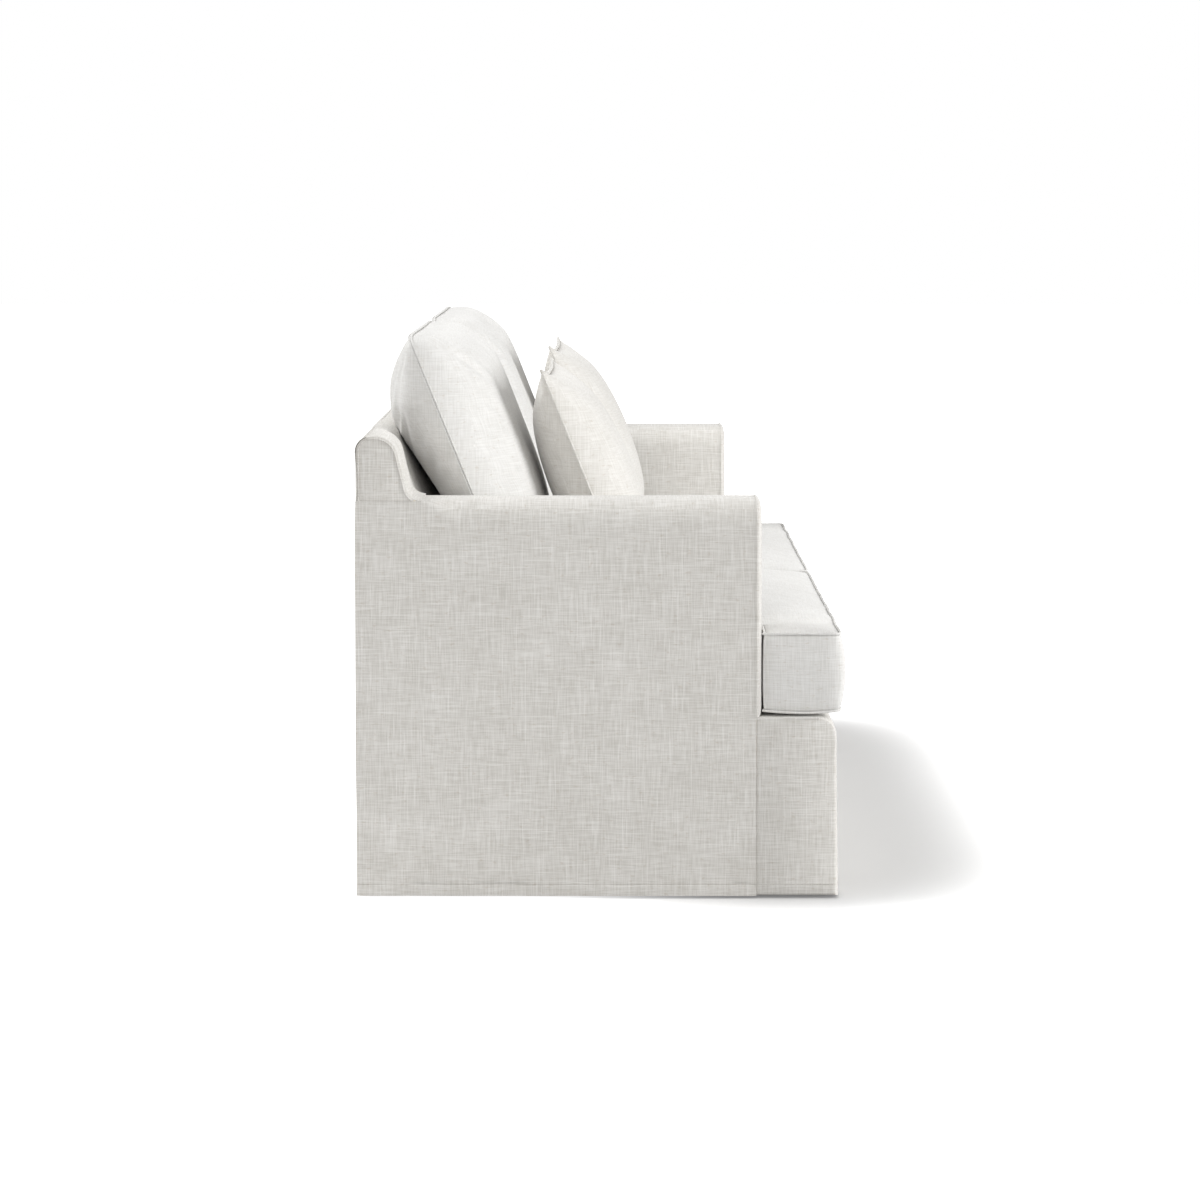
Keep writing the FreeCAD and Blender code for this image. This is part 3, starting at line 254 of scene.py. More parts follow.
# Webbing and foam: woven straps across the seat and up the back, and foam pads over the back, arms, wings
# and deck, glued on and wrapped by the covers. The cushions' cores are of the same foam.
webbing = speckled("webbing_weave", (0.30, 0.24, 0.17), (0.17, 0.13, 0.09), 420, 0.85, 0.0, 0.6)
repaint(webbing, "seat_webbing", "back_webbing")
foam = speckled("foam", (0.86, 0.80, 0.62), (0.77, 0.70, 0.52), 800, 0.9, 0.0, 0.5)
repaint(foam, "back_pad", "arm_pad", "wing_pad", "deck_pad", "seat_cushion_core")

# Linen: a plain weave of uneven yarns, off-white with tan flecks, where thick slubs run both ways. The
# group draws it from flat cloth coordinates in metres, and gives its colour, its roughness and its relief.
linen, weave_in, weave_out = texture_group("linen_weave", "Cloth", "Light", "Dark", "Slubs")
SLUB_COLOUR, SLUB_GAIN = (0.93, 0.92, 0.90, 1), 0.34
NUB_COLOUR, NUB_GAIN = (0.47, 0.40, 0.32, 1), 0.30
YARN, YARN_RUN, SLUB, SLUB_RUN = 430, 26, 260, 13


def yarns(across, along, detail, low, high):
    """Streaks of noise, so many to the metre across them and along them, stretched between two limits."""
    laid = put(linen, "Mapping", {"Vector": weave_in["Cloth"], "Scale": (across, along, 1)})[0]
    streaks = put(linen, "TexNoise", {"Vector": laid, "Scale": 1, "Detail": detail, "Roughness": 0.55},
                  noise_dimensions="2D")[0]
    return put(linen, "MapRange", {"Value": streaks, "From Min": low, "From Max": high})[0]


def sum_of(first, second, first_share, second_share):
    """Two masks added in shares."""
    part = math_of(linen, "MULTIPLY", second, second_share)
    return math_of(linen, "MULTIPLY_ADD", first, first_share, part)


threads = sum_of(yarns(YARN, YARN_RUN, 1.5, 0.30, 0.70), yarns(YARN_RUN, YARN, 1.5, 0.30, 0.70), 0.5, 0.5)
slubs = sum_of(yarns(SLUB, SLUB_RUN, 0.5, 0.61, 0.75), yarns(SLUB_RUN, SLUB, 0.5, 0.61, 0.75), 0.62, 0.55)
cloud = yarns(9, 13, 2.0, 0.30, 0.70)
slub_share = math_of(linen, "MULTIPLY", slubs, weave_in["Slubs"])
yarn_colour = mixed(linen, sum_of(threads, cloud, 0.84, 0.16), weave_in["Dark"], weave_in["Light"])
slub_colour = mixed(linen, math_of(linen, "MULTIPLY", slub_share, SLUB_GAIN), yarn_colour, SLUB_COLOUR)
# short brown nubs of raw flax lie among the weft yarns
nub = math_of(linen, "MULTIPLY", yarns(85, 190, 1.0, 0.67, 0.82), NUB_GAIN)
rough = put(linen, "MapRange", {"Value": threads, "To Min": 0.96, "To Max": 0.84})[0]
wire(linen, weave_out, {"Colour": mixed(linen, nub, slub_colour, NUB_COLOUR), "Roughness": rough,
                        "Relief": sum_of(threads, slub_share, 0.7, 0.5)})


def cloth_material(name, light, dark, slubs=1.0):
    """A linen: its light and dark yarns, laid on the cloth's own flat map in metres."""
    made, tree, shader = new_paint(name)
    weave = put(tree, "Group", {"Cloth": put(tree, "UVMap", uv_map="cloth")["UV"], "Light": (*light, 1),
                                "Dark": (*dark, 1), "Slubs": slubs}, node_tree=linen)
    bump = put(tree, "Bump", {"Strength": 0.35, "Distance": 0.0006, "Height": weave["Relief"]})[0]
    wire(tree, shader, {"Base Color": weave["Colour"], "Roughness": weave["Roughness"], "Normal": bump,
                        "Specular IOR Level": 0.12, "Sheen Weight": 0.25, "Sheen Roughness": 0.6})
    return made


cover_linen = cloth_material("cover_linen", (0.765, 0.75, 0.72), (0.555, 0.535, 0.495))
cushion_linen = cloth_material("cushion_linen", (0.775, 0.77, 0.755), (0.635, 0.625, 0.60), slubs=0.6)
pillow_linen = cloth_material("pillow_linen", (0.755, 0.74, 0.71), (0.60, 0.58, 0.54), slubs=0.6)

# Modelling: small steps that the pieces below share. Right-hand pieces are made first, dressed, and then
# mirrored over, so that both sides have the same cloth.
NEAR, CLOSE = 0.001, 0.0005      # how far off a seam a point still counts as being on it


def take(piece):
    """Only this piece is selected and active."""
    bpy.ops.object.select_all(action="DESELECT")
    piece.select_set(True)
    bpy.context.view_layer.objects.active = piece


def open_up(piece):
    take(piece)
    bpy.ops.object.mode_set(mode="EDIT")


def close_up():
    bpy.ops.object.mode_set(mode="OBJECT")


def everything():
    bpy.ops.mesh.select_all(action="SELECT")


def pick(kind, test):
    """In edit mode, selects the points, edges or faces that pass a test: an edge by both of its ends, a
    face by its middle."""
    bpy.ops.mesh.select_mode(type=kind)
    bpy.ops.mesh.select_all(action="DESELECT")
    work = bmesh.from_edit_mesh(bpy.context.object.data)
    group = {"VERT": work.verts, "EDGE": work.edges, "FACE": work.faces}[kind]
    for item in group:
        if kind == "VERT":
            chosen = test(item.co)
        elif kind == "EDGE":
            chosen = test(item.verts[0].co) and test(item.verts[1].co)
        else:
            chosen = test(item.calc_center_median())
        if chosen:
            item.select = True
    work.select_flush_mode()
    bmesh.update_edit_mesh(bpy.context.object.data)


def pick_edges(test):
    """In edit mode, selects the edges whose two ends pass a test together."""
    bpy.ops.mesh.select_mode(type="EDGE")
    bpy.ops.mesh.select_all(action="DESELECT")
    work = bmesh.from_edit_mesh(bpy.context.object.data)
    for edge in work.edges:
        edge.select = test(edge.verts[0].co, edge.verts[1].co)
    bmesh.update_edit_mesh(bpy.context.object.data)


def push(x=0, y=0, z=0):
    """Extrudes what is selected by a move."""
    bpy.ops.mesh.extrude_region_move(TRANSFORM_OT_translate={"value": (x, y, z)})


def sweep(steps, degrees, centre, axis):
    """Extrudes what is selected round an axis."""
    bpy.ops.mesh.spin(steps=steps, angle=math.radians(degrees), center=centre, axis=axis)


def cut_along(test, cuts):
    """Divides the edges whose two ends pass a test, all the way along."""
    pick_edges(test)
    bpy.ops.mesh.subdivide(number_cuts=cuts)


def round_off(run, segments):
    """Rounds the selected edges."""
    bpy.ops.mesh.bevel(offset=run, segments=segments, profile=0.5, affect="EDGES")


def round_edge(y, z, run, segments):
    """Rounds the edge that runs along X at a place."""
    pick_edges(lambda a, b: all(abs(e.y - y) < NEAR and abs(e.z - z) < NEAR for e in (a, b)))
    round_off(run, segments)


def slice_rows(*levels):
    """Cuts level rows right round the piece."""
    for level in levels:
        everything()
        bpy.ops.mesh.bisect(plane_co=(0, 0, level), plane_no=(0, 0, 1))


def grid(name, columns, rows, lay):
    """A sheet of so many cells, its points laid out from a unit grid about the origin."""
    bpy.ops.object.select_all(action="DESELECT")
    bpy.ops.mesh.primitive_grid_add(x_subdivisions=columns, y_subdivisions=rows, size=1)
    made = bpy.context.object
    made.name = name
    for point in made.data.vertices:
        point.co = lay(point.co)
    return made


def box_between(name, low, high):
    """A block primitive between two corners."""
    bpy.ops.object.select_all(action="DESELECT")
    middle = [(a + b) / 2 for a, b in zip(low, high)]
    bpy.ops.mesh.primitive_cube_add(size=1, location=middle, scale=[b - a for a, b in zip(low, high)])
    made = bpy.context.object
    made.name = name
    bpy.ops.object.transform_apply(location=True, rotation=True, scale=True)
    return made


def finish_with(piece, kind, **settings):
    """Adds a modifier and applies it."""
    take(piece)
    modifier = piece.modifiers.new(kind.lower(), kind)
    for word, value in settings.items():
        setattr(modifier, word, value)
    bpy.ops.object.modifier_apply(modifier=modifier.name)


def smooth(piece, degrees=50):
    take(piece)
    bpy.ops.object.shade_smooth_by_angle(angle=math.radians(degrees))


def refine(piece, degrees=80):
    """Halves the cells of a cushion's case."""
    finish_with(piece, "SUBSURF", levels=1, render_levels=1)
    smooth(piece, degrees)


def face_out(piece, heart):
    """Turns the faces of an open sheet so that they look away from a point inside the sofa."""
    data = piece.data
    away = sum((f.center - Vector(heart)).dot(f.normal) * f.area for f in data.polygons)
    if away < 0:
        data.flip_normals()
    data.update()


def thicken(piece, depth, heart=None, degrees=50):
    """Gives an open sheet its thickness, inwards: towards a heart, where one is named."""
    if heart:
        face_out(piece, heart)
    finish_with(piece, "SOLIDIFY", thickness=depth, offset=-1)
    smooth(piece, degrees)


def ease(value, low, high):
    """0 below low, 1 above high, smooth between."""
    share = max(0.0, min(1.0, (value - low) / (high - low)))
    return share * share * (3 - 2 * share)


def slacken(piece, depth, stretch, seed, calm=lambda p: 1):
    """Eases the cloth in and out along its normals in soft waves, less where calm says so."""
    moves = []
    for point in piece.data.vertices:
        p = point.co
        q = Vector([a * b for a, b in zip(p, stretch)]) + Vector((seed, seed * 1.7, -seed))
        wave = noise.noise(q) + 0.45 * noise.noise(q * 2.3)
        moves.append(point.normal * depth * wave * calm(p))
    for point, move in zip(piece.data.vertices, moves):
        point.co += move
    piece.data.update()


def lay_flat(piece):
    """Gives the cloth a flat map in metres, each panel from the side it faces."""
    data = piece.data
    while data.uv_layers:
        data.uv_layers.remove(data.uv_layers[0])
    layer = data.uv_layers.new(name="cloth")
    for face in data.polygons:
        widest = max(range(3), key=lambda axis: abs(face.normal[axis]))
        for corner in face.loop_indices:
            p = data.vertices[data.loops[corner].vertex_index].co
            layer.data[corner].uv = ((p.y, p.z), (p.x, p.z), (p.x, p.y))[widest]


def dress(piece, body, material, hides=(), laid=True):
    """Lays the piece's cloth flat, gives it its material and says what it belongs to."""
    if laid and not piece.data.uv_layers.get("cloth"):
        lay_flat(piece)
    piece.data.materials.clear()
    piece.data.materials.append(material)
    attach(piece, body)
    if hides:
        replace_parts(piece, *hides)


def copy_of(piece, name, mesh=None):
    """A second piece with its own mesh, which leaves behind the CAD nodes that the first piece names."""
    made = piece.copy()
    made.data = mesh or piece.data.copy()
    made.name = name
    made.pop("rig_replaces", None)
    scene.collection.objects.link(made)
    return made


def dress_both(piece, body, material, hides=(), laid=True):
    """Dresses a right-hand piece and its mirror image on the left, where right reads left in each name."""
    dress(piece, body, material, laid=laid)
    twin = copy_of(piece, piece.name.replace("right", "left"))
    twin.data.transform(Matrix.Scale(-1, 4, Vector((1, 0, 0))))
    twin.data.flip_normals()
    dress(twin, body.replace("right", "left"), material, laid=laid)
    if hides:
        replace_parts(piece, *hides)
        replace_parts(twin, *[name.replace("right", "left") for name in hides])
    return piece, twin


def seam_cord(name, route, radius, closed=False):
    """A round cord of cloth along a route of points."""
    line = bpy.data.curves.new(name, "CURVE")
    line.dimensions = "3D"
    line.bevel_depth = radius
    line.bevel_resolution = 1
    line.use_fill_caps = True
    run = line.splines.new("POLY")
    run.points.add(len(route) - 1)
    for place, spot in zip(run.points, route):
        place.co = (*spot, 1)
    run.use_cyclic_u = closed
    shape = bpy.data.objects.new(name, line)
    scene.collection.objects.link(shape)
    take(shape)
    bpy.ops.object.convert(target="MESH")
    made = bpy.context.object
    smooth(made, 60)
    return made


def cover_cords(name, route, radius):
    """A seam cord on each side of the cover."""
    dress_both(seam_cord(name + "_right", route, radius), "sofa", cover_linen)


def arc_points(centre, radius, start, end, count):
    """Points round an arc, in degrees, as (across, up)."""
    turns = [math.radians(start + (end - start) * i / count) for i in range(count + 1)]
    return [(centre[0] + radius * math.cos(t), centre[1] + radius * math.sin(t)) for t in turns]


# Arm sleeves: on each arm one width of linen comes up from the hem outside, over the arm's rounded top
# and down its inside to the deck. Behind the arm it runs on, as far as the outside back's seam.
HALF, REAR = cad_high.x, cad_high.y
(ARM_IN, SEAM_Y, _), (_, WING_ROOT, ARM_TOP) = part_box("arm_cover_right")
(_, _, HEM), (_, _, SHOULDER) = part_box("outside_arm_cover_right")
ROUND = ARM_TOP - SHOULDER
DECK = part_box("deck_cover")[1].z
CLOTH_THICK = 0.003
SHEET = 0.0010
STITCH = HEM + 0.0195
STITCH_ROWS = (STITCH - 0.001, STITCH, STITCH + 0.001)
WING_EDGE = 0.0055
WING_STEP = 0.040
FLARE_TOP, FLARE, FLARE_WAVE, STITCH_DEPTH = 0.30, 0.0030, 0.0012, 0.0009
QUARTER, QUARTER_STEPS = 90, 7


def hang(piece):
    """The skirt flares a little to the floor, and the hem's stitching draws it in."""
    for point in piece.data.vertices:
        p = point.co
        n = Vector((point.normal.x, point.normal.y, 0))
        if p.z < FLARE_TOP:
            low = 1 - p.z / FLARE_TOP
            p += n * FLARE * low ** 2
            p += n * FLARE_WAVE * (1 - p.z / FLARE_TOP) * noise.noise(Vector((p.x * 5, p.y * 9, 2.0)))
        if abs(p.z - STITCH) < 0.0003:
            p -= n * STITCH_DEPTH


def arm_calm(p):
    """Quiet at the seams and at the deck, free on the outside."""
    edges = ease(p.y, SEAM_Y, SEAM_Y + 0.05) * (1 - ease(p.y, REAR - 0.06, REAR - 0.004))
    return edges * (1.0 if p.x > HALF - 0.01 else 0.45)


arm_run = WING_ROOT - SEAM_Y
sleeve = grid("arm_sleeve_right", 40, 1,
              lambda p: Vector((HALF, SEAM_Y + (p.x + 0.5) * arm_run, HEM if p.y < 0 else SHOULDER)))
open_up(sleeve)
pick("EDGE", lambda p: p.z > SHOULDER - NEAR)
sweep(QUARTER_STEPS, QUARTER, (HALF - ROUND, 0, SHOULDER), (0, 1, 0))
pick("EDGE", lambda p: p.z > ARM_TOP - CLOSE)
push(x=-(HALF - ARM_IN - 2 * ROUND))
pick("EDGE", lambda p: abs(p.x - ARM_IN - ROUND) < CLOSE)
sweep(QUARTER_STEPS, QUARTER, (ARM_IN + ROUND, 0, SHOULDER), (0, 1, 0))
pick("EDGE", lambda p: abs(p.x - ARM_IN) < CLOSE)
push(z=DECK - CLOTH_THICK - SHOULDER)
pick("EDGE", lambda p: p.y > WING_ROOT - NEAR and p.x > HALF - CLOSE and p.z < SHOULDER + NEAR)
push(y=REAR - SHEET - WING_ROOT)
cut_along(lambda a, b: abs(a.y - b.y) > 0.05, 7)
pick("EDGE", lambda p: p.y > WING_ROOT - NEAR and p.x > HALF - CLOSE and p.z > SHOULDER - NEAR)
push(z=WING_STEP)
cut_along(lambda a, b: abs(a.z - b.z) > 0.5 and a.x > HALF - NEAR, 43)
cut_along(lambda a, b: abs(a.z - b.z) > 0.2 and a.x < ARM_IN + NEAR, 22)
cut_along(lambda a, b: abs(a.x - b.x) > 0.05, 3)
slice_rows(*STITCH_ROWS)
close_up()
for point in sleeve.data.vertices:
    p = point.co
    if p.y < WING_ROOT + CLOSE and p.z > SHOULDER - CLOSE and p.x > HALF - ROUND - CLOSE:
        # towards the wing the round edge draws in to a sharp one
        turn = math.atan2(p.z - SHOULDER, p.x - HALF + ROUND)
        radius = ROUND + (WING_EDGE - ROUND) * ease(p.y, SEAM_Y + 0.50, WING_ROOT)
        p.x = HALF - radius + radius * math.cos(turn)
        p.z = ARM_TOP - radius + radius * math.sin(turn)
lay_flat(sleeve)
slacken(sleeve, 0.0022, (2.0, 2.2, 7.0), 3.1, arm_calm)
hang(sleeve)
thicken(sleeve, CLOTH_THICK, (0.93, 0, 0.4))
sleeves = dress_both(sleeve, "sofa", cover_linen, hides=["outside_arm_cover_right", "arm_cover_right"])

# Arm facings: the panel sewn into the front of each arm, softly padded, its seam set a little back from
# the front edge. A fine cord of cloth shows in that seam.
FACING_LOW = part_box("arm_facing_right")[0]
FACING_CORD = 0.0015
arm_arch = ([(ARM_IN, DECK + 0.001)] + arc_points((ARM_IN + ROUND, SHOULDER), ROUND, 180, 90, 8)
            + arc_points((HALF - ROUND, SHOULDER), ROUND, 90, 0, 8) + [(HALF, DECK + 0.001)])
facing = box_between("arm_facing_soft_right", (ARM_IN, FACING_LOW.y + 0.004, FACING_LOW.z),
                     (HALF, SEAM_Y, ARM_TOP))
open_up(facing)
pick_edges(lambda a, b: min(a.z, b.z) > ARM_TOP - NEAR and abs(a.x - b.x) < NEAR)
round_off(ROUND, 9)
pick("FACE", lambda p: p.y < FACING_LOW.y + 0.0042)
for width, swell in ((0.0015, 0.0022), (0.004, 0.0022), (0.010, 0.0018), (0.018, 0.0010)):
    bpy.ops.mesh.inset(thickness=width, depth=swell)
close_up()
smooth(facing, 40)
for piece in dress_both(facing, "sofa", cover_linen, hides=["arm_facing_right"]):
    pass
cover_cords("arm_facing_seam", [(x, SEAM_Y - 0.0008, z) for x, z in arm_arch], FACING_CORD)

# Wings: behind each arm the cover sweeps up and over the end of the back. A band of cloth runs up its
# front and over its top, and a flat panel is sewn into its side with a fine cord.
WING_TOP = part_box("wing_cover_right")[1].z
WING_REAR = REAR - SHEET
WING_FOOT_Y, WING_HEAD_Y = 0.3236, 0.3501
WING_SIDE = HALF - 0.0008
WING_SEAM = SHOULDER + WING_STEP
WING_HEART_Y = 0.385
WING_CORD, LEVEL_CORD = 0.0011, 0.0010
PANEL_LIP, PANEL_SINK = 0.0015, 0.0035
ROOT_RUN, HEAD_RUN, REAR_RUN = 0.0186, 0.0298, 0.027


def sink_panel():
    """Rounds the selected end panel over to its seam, in two steps."""
    bpy.ops.mesh.inset(thickness=PANEL_LIP, depth=PANEL_SINK)
    bpy.ops.mesh.inset(thickness=WING_EDGE - PANEL_LIP, depth=WING_EDGE - PANEL_SINK)


wing = box_between("wing_sleeve_right", (ARM_IN, WING_ROOT, SHOULDER),
                   (WING_SIDE - WING_EDGE, WING_REAR, ARM_TOP))
open_up(wing)
everything()
bpy.ops.mesh.bisect(plane_co=(0, WING_FOOT_Y, 0), plane_no=(0, 1, 0))
pick("FACE", lambda p: p.z > ARM_TOP - NEAR and p.y > WING_FOOT_Y)
push(z=WING_TOP - ARM_TOP)
pick("VERT", lambda p: p.z > WING_TOP - NEAR and p.y < WING_FOOT_Y + NEAR)
bpy.ops.transform.translate(value=(0, WING_HEAD_Y - WING_FOOT_Y, 0))
round_edge(WING_REAR, WING_TOP, REAR_RUN, 7)
round_edge(WING_HEAD_Y, WING_TOP, HEAD_RUN, 9)
round_edge(WING_FOOT_Y, ARM_TOP, ROOT_RUN, 7)
everything()
bpy.ops.mesh.remove_doubles(threshold=0.0012)
pick("FACE", lambda p: p.x > WING_SIDE - WING_EDGE - CLOSE)
bpy.ops.mesh.dissolve_faces()
sink_panel()
work = bmesh.from_edit_mesh(wing.data)
panel = [f for f in work.faces if f.select][0]
wing_route = [v.co.copy() for v in panel.verts]
close_up()
for point in wing.data.vertices:
    p = point.co
    if p.z < ARM_TOP - 0.0025 and p.x > HALF - 0.02:
        p.x = min(p.x, HALF - CLOTH_THICK - 0.0004)
    if p.y < WING_ROOT + 0.0006:
        # the front of the wing's cover stands clear of its pad, just under the arm's top
        p.y -= 0.0014
        p.z = min(p.z, ARM_TOP - 0.0005)
smooth(wing, 40)
for piece in dress_both(wing, "sofa", cover_linen, hides=["wing_cover_right"]):
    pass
wing_route = [p for p in wing_route if p.z > WING_SEAM + CLOSE]
wing_route.sort(key=lambda p: -math.atan2(p.z - WING_SEAM, p.y - WING_HEART_Y))
wing_route.append(Vector((WING_SIDE, wing_route[-1].y, WING_SEAM)))
wing_route = [p + Vector((0.0003, 0, 0)) for p in wing_route]
cover_cords("wing_seam", wing_route, WING_CORD)
level_run = REAR - 0.002 - wing_route[0].y
level_route = [(HALF - 0.0006, wing_route[0].y + level_run * i / 8, WING_SEAM) for i in range(9)]
cover_cords("wing_level_seam", level_route, LEVEL_CORD)

# Outside back: one flat width of linen from the hem to the top, rounded over the top rail, where it is
# sewn to the inside back and to the wings.
OUT_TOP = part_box("outside_back_cover")[1].z
BACK_SEAM = 70
HOLLOW, HOLLOW_LEVEL, HOLLOW_REACH = 0.0045, 0.705, 0.028
TOP_CORD = 0.0012
rear = grid("outside_back_soft", 60, 24,
            lambda p: Vector((p.x * 2 * HALF, REAR, HEM + (p.y + 0.5) * (OUT_TOP - HEM))))
open_up(rear)
pick("EDGE", lambda p: p.z > OUT_TOP - NEAR)
sweep(6, BACK_SEAM, (0, REAR - REAR_RUN, OUT_TOP), (-1, 0, 0))
slice_rows(*STITCH_ROWS)
close_up()
for point in rear.data.vertices:
    # the cloth falls in a little below the top rail
    point.co.y -= HOLLOW * math.exp(-((point.co.z - HOLLOW_LEVEL) / HOLLOW_REACH) ** 2)
slacken(rear, 0.0020, (3.0, 2.0, 5.0), 8.4, lambda p: 1 - ease(abs(p.x), HALF - 0.06, HALF - 0.004))
hang(rear)
thicken(rear, SHEET, (0, 0, 0.4))
dress(rear, "sofa", cover_linen, hides=["outside_back_cover"])
top_turn = math.radians(BACK_SEAM)
seam_y = REAR - REAR_RUN + REAR_RUN * math.cos(top_turn)
seam_z = OUT_TOP + REAR_RUN * math.sin(top_turn)
top_cord = seam_cord("back_top_seam", [(x * HALF / 20, seam_y, seam_z) for x in range(-20, 21)], TOP_CORD)
dress(top_cord, "sofa", cover_linen)

# Inside back: a width of linen from the top seam, over the soft roll and down the raked back to the deck.
# The rake and the roll are the CAD's own.
ROLL = 0.030
ROLL_Y = 0.3865
RAKE = 22
LEAN = math.radians(RAKE)
roll_z = WING_TOP - ROLL + ROLL * math.sin(LEAN)
inside = grid("inside_back_soft", 56, 1,
              lambda p: Vector((p.x * 2 * ARM_IN, ROLL_Y if p.y < 0 else REAR - REAR_RUN, WING_TOP)))
open_up(inside)
pick("EDGE", lambda p: p.y < ROLL_Y + CLOSE)
sweep(8, 90 - RAKE, (0, ROLL_Y, WING_TOP - ROLL), (-1, 0, 0))
pick("EDGE", lambda p: p.z < roll_z + CLOSE)
push(y=-(roll_z - DECK) * math.tan(LEAN), z=-(roll_z - DECK))
cut_along(lambda a, b: abs(a.z - b.z) > 0.2, 24)
pick("EDGE", lambda p: p.y > REAR - REAR_RUN - CLOSE)
sweep(3, 90 - BACK_SEAM, (0, REAR - REAR_RUN, OUT_TOP), (1, 0, 0))
close_up()
slacken(inside, 0.0015, (4.0, 3.0, 5.0), 1.9)
thicken(inside, CLOTH_THICK, (0, 0.42, 0.4))
dress(inside, "sofa", cover_linen, hides=["inside_back_cover"])

# Front border: the panel below the cushions, rounded over the deck's front edge, with a side panel sewn
# in at each end as far back as the arm's facing. It hangs to the floor as the sofa's skirt.
BORDER_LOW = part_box("front_border_cover")[0]
DECK_EDGE = 0.030
SKIRT_CORD = 0.0007
border = box_between("front_border_soft", (-HALF + WING_EDGE, BORDER_LOW.y, HEM),
                     (HALF - WING_EDGE, SEAM_Y, DECK))
open_up(border)
round_edge(BORDER_LOW.y, DECK, DECK_EDGE, 8)
for side in (-1, 1):
    pick("FACE", lambda p: p.x * side > HALF - WING_EDGE - CLOSE)
    sink_panel()
pick("FACE", lambda p: p.y > SEAM_Y - CLOSE or p.z < HEM + CLOSE)
bpy.ops.mesh.delete(type="FACE")
cut_along(lambda a, b: abs(a.x - b.x) > 1.5, 59)
slice_rows(*STITCH_ROWS, 0.05, 0.09, 0.13, 0.17, 0.21, 0.245, 0.265)
close_up()
slacken(border, 0.0018, (2.5, 3.0, 6.0), 5.2, lambda p: 1 - ease(abs(p.x), HALF - 0.09, HALF - 0.03))
hang(border)
thicken(border, CLOTH_THICK, degrees=40)
dress(border, "sofa", cover_linen, hides=["front_border_cover"])
skirt_levels = [HEM + i * (DECK - HEM) / 24 for i in range(25)]
skirt_route = [(HALF - 0.0006 + FLARE * max(0, 1 - z / FLARE_TOP) ** 2, SEAM_Y, z) for z in skirt_levels]
cover_cords("skirt_seam", skirt_route, SKIRT_CORD)

# Deck: the linen panel under the seat cushions, stretched over the deck's foam. Dust cover: a thin felt of
# black fibres, stapled under the rails and cut out round the legs. It sags a little between them.
DECK_LOW, DECK_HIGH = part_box("deck_cover")
DUST_LOW, DUST_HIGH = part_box("dust_cover")
LEG_GAP = 0.002
DUST_SAG, DUST_WAVE = 0.004, 0.0008


def panel_over(name, low, high, columns, rows, level):
    """A flat grid between two corners at a height."""
    return grid(name, columns, rows, lambda p: Vector((low.x + (p.x + 0.5) * (high.x - low.x),
                                                       low.y + (p.y + 0.5) * (high.y - low.y), level)))


deck = panel_over("deck_soft", DECK_LOW, DECK_HIGH, 60, 16, DECK_HIGH.z)
slacken(deck, 0.0012, (3.0, 4.0, 1.0), 6.6)
thicken(deck, CLOTH_THICK, (0, 0, 0.1))
dress(deck, "sofa", cover_linen, hides=["deck_cover"])

dust = panel_over("dust_cover_soft", DUST_LOW, DUST_HIGH, 48, 20, DUST_LOW.z)
open_up(dust)
for name in ("leg_front_left", "leg_front_right", "leg_rear_left", "leg_rear_right"):
    leg_low, leg_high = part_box(name)
    left, right = leg_low.x - LEG_GAP, leg_high.x + LEG_GAP
    front, behind = leg_low.y - LEG_GAP, leg_high.y + LEG_GAP
    for place, way in (((left, 0, 0), (1, 0, 0)), ((right, 0, 0), (1, 0, 0)),
                       ((0, front, 0), (0, 1, 0)), ((0, behind, 0), (0, 1, 0))):
        everything()
        bpy.ops.mesh.bisect(plane_co=place, plane_no=way)
    pick("FACE", lambda p: left < p.x < right and front < p.y < behind)
    bpy.ops.mesh.delete(type="FACE")
close_up()
for point in dust.data.vertices:
    p = point.co
    middle = (1 - (p.x / DUST_HIGH.x) ** 2) * (1 - (p.y / DUST_HIGH.y) ** 2) if abs(p.y) < DUST_HIGH.y else 0
    p.z -= DUST_SAG * max(0, middle) + DUST_WAVE * noise.noise(Vector((p.x * 6, p.y * 6, 1.0)))
thicken(dust, DUST_HIGH.z - DUST_LOW.z, (0, 0, 1))
dust_felt = speckled("dust_felt", (0.055, 0.055, 0.058), (0.030, 0.030, 0.032), 340, 0.9)
dress(dust, "sofa", dust_felt, hides=["dust_cover"])

# Seat cushions: two loose box cushions, each L-shaped so that it wraps round the front of the arm. Foam
# fills the linen case tight, and the case's welts are cords of the same linen.
SEAT_BOX_LOW, SEAT_BOX_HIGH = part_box("seat_cushion_case_right")
SEAT_IN, SEAT_OUT, SEAT_RETURN = SEAT_BOX_LOW.x + 0.002, ARM_IN - 0.003, HALF - 0.016
SEAT_FRONT, SEAT_REAR = SEAT_BOX_LOW.y + 0.010, SEAT_BOX_HIGH.y - 0.0024
SEAT_SHOULDER = FACING_LOW.y - 0.008
BOXING = 0.131
WELT_LOW = SEAT_BOX_LOW.z + 0.0095
WELT_HIGH = WELT_LOW + BOXING
CELLS_IN, CELLS_RETURN, CELLS_FRONT, CELLS_REAR = 70, 11, 11, 37
FRONT_SWELL, SIDE_SWELL, WELT_SAG = 0.0080, 0.0040, 0.0040
CORNER_ROUND, CORNER_REACH = 0.0028, 0.010
WELT = 0.0023
SEAT_WAVE, FRONT_WAVE = 0.0016, 0.0014
SEAT_MIDDLE = (0.49, -0.12)


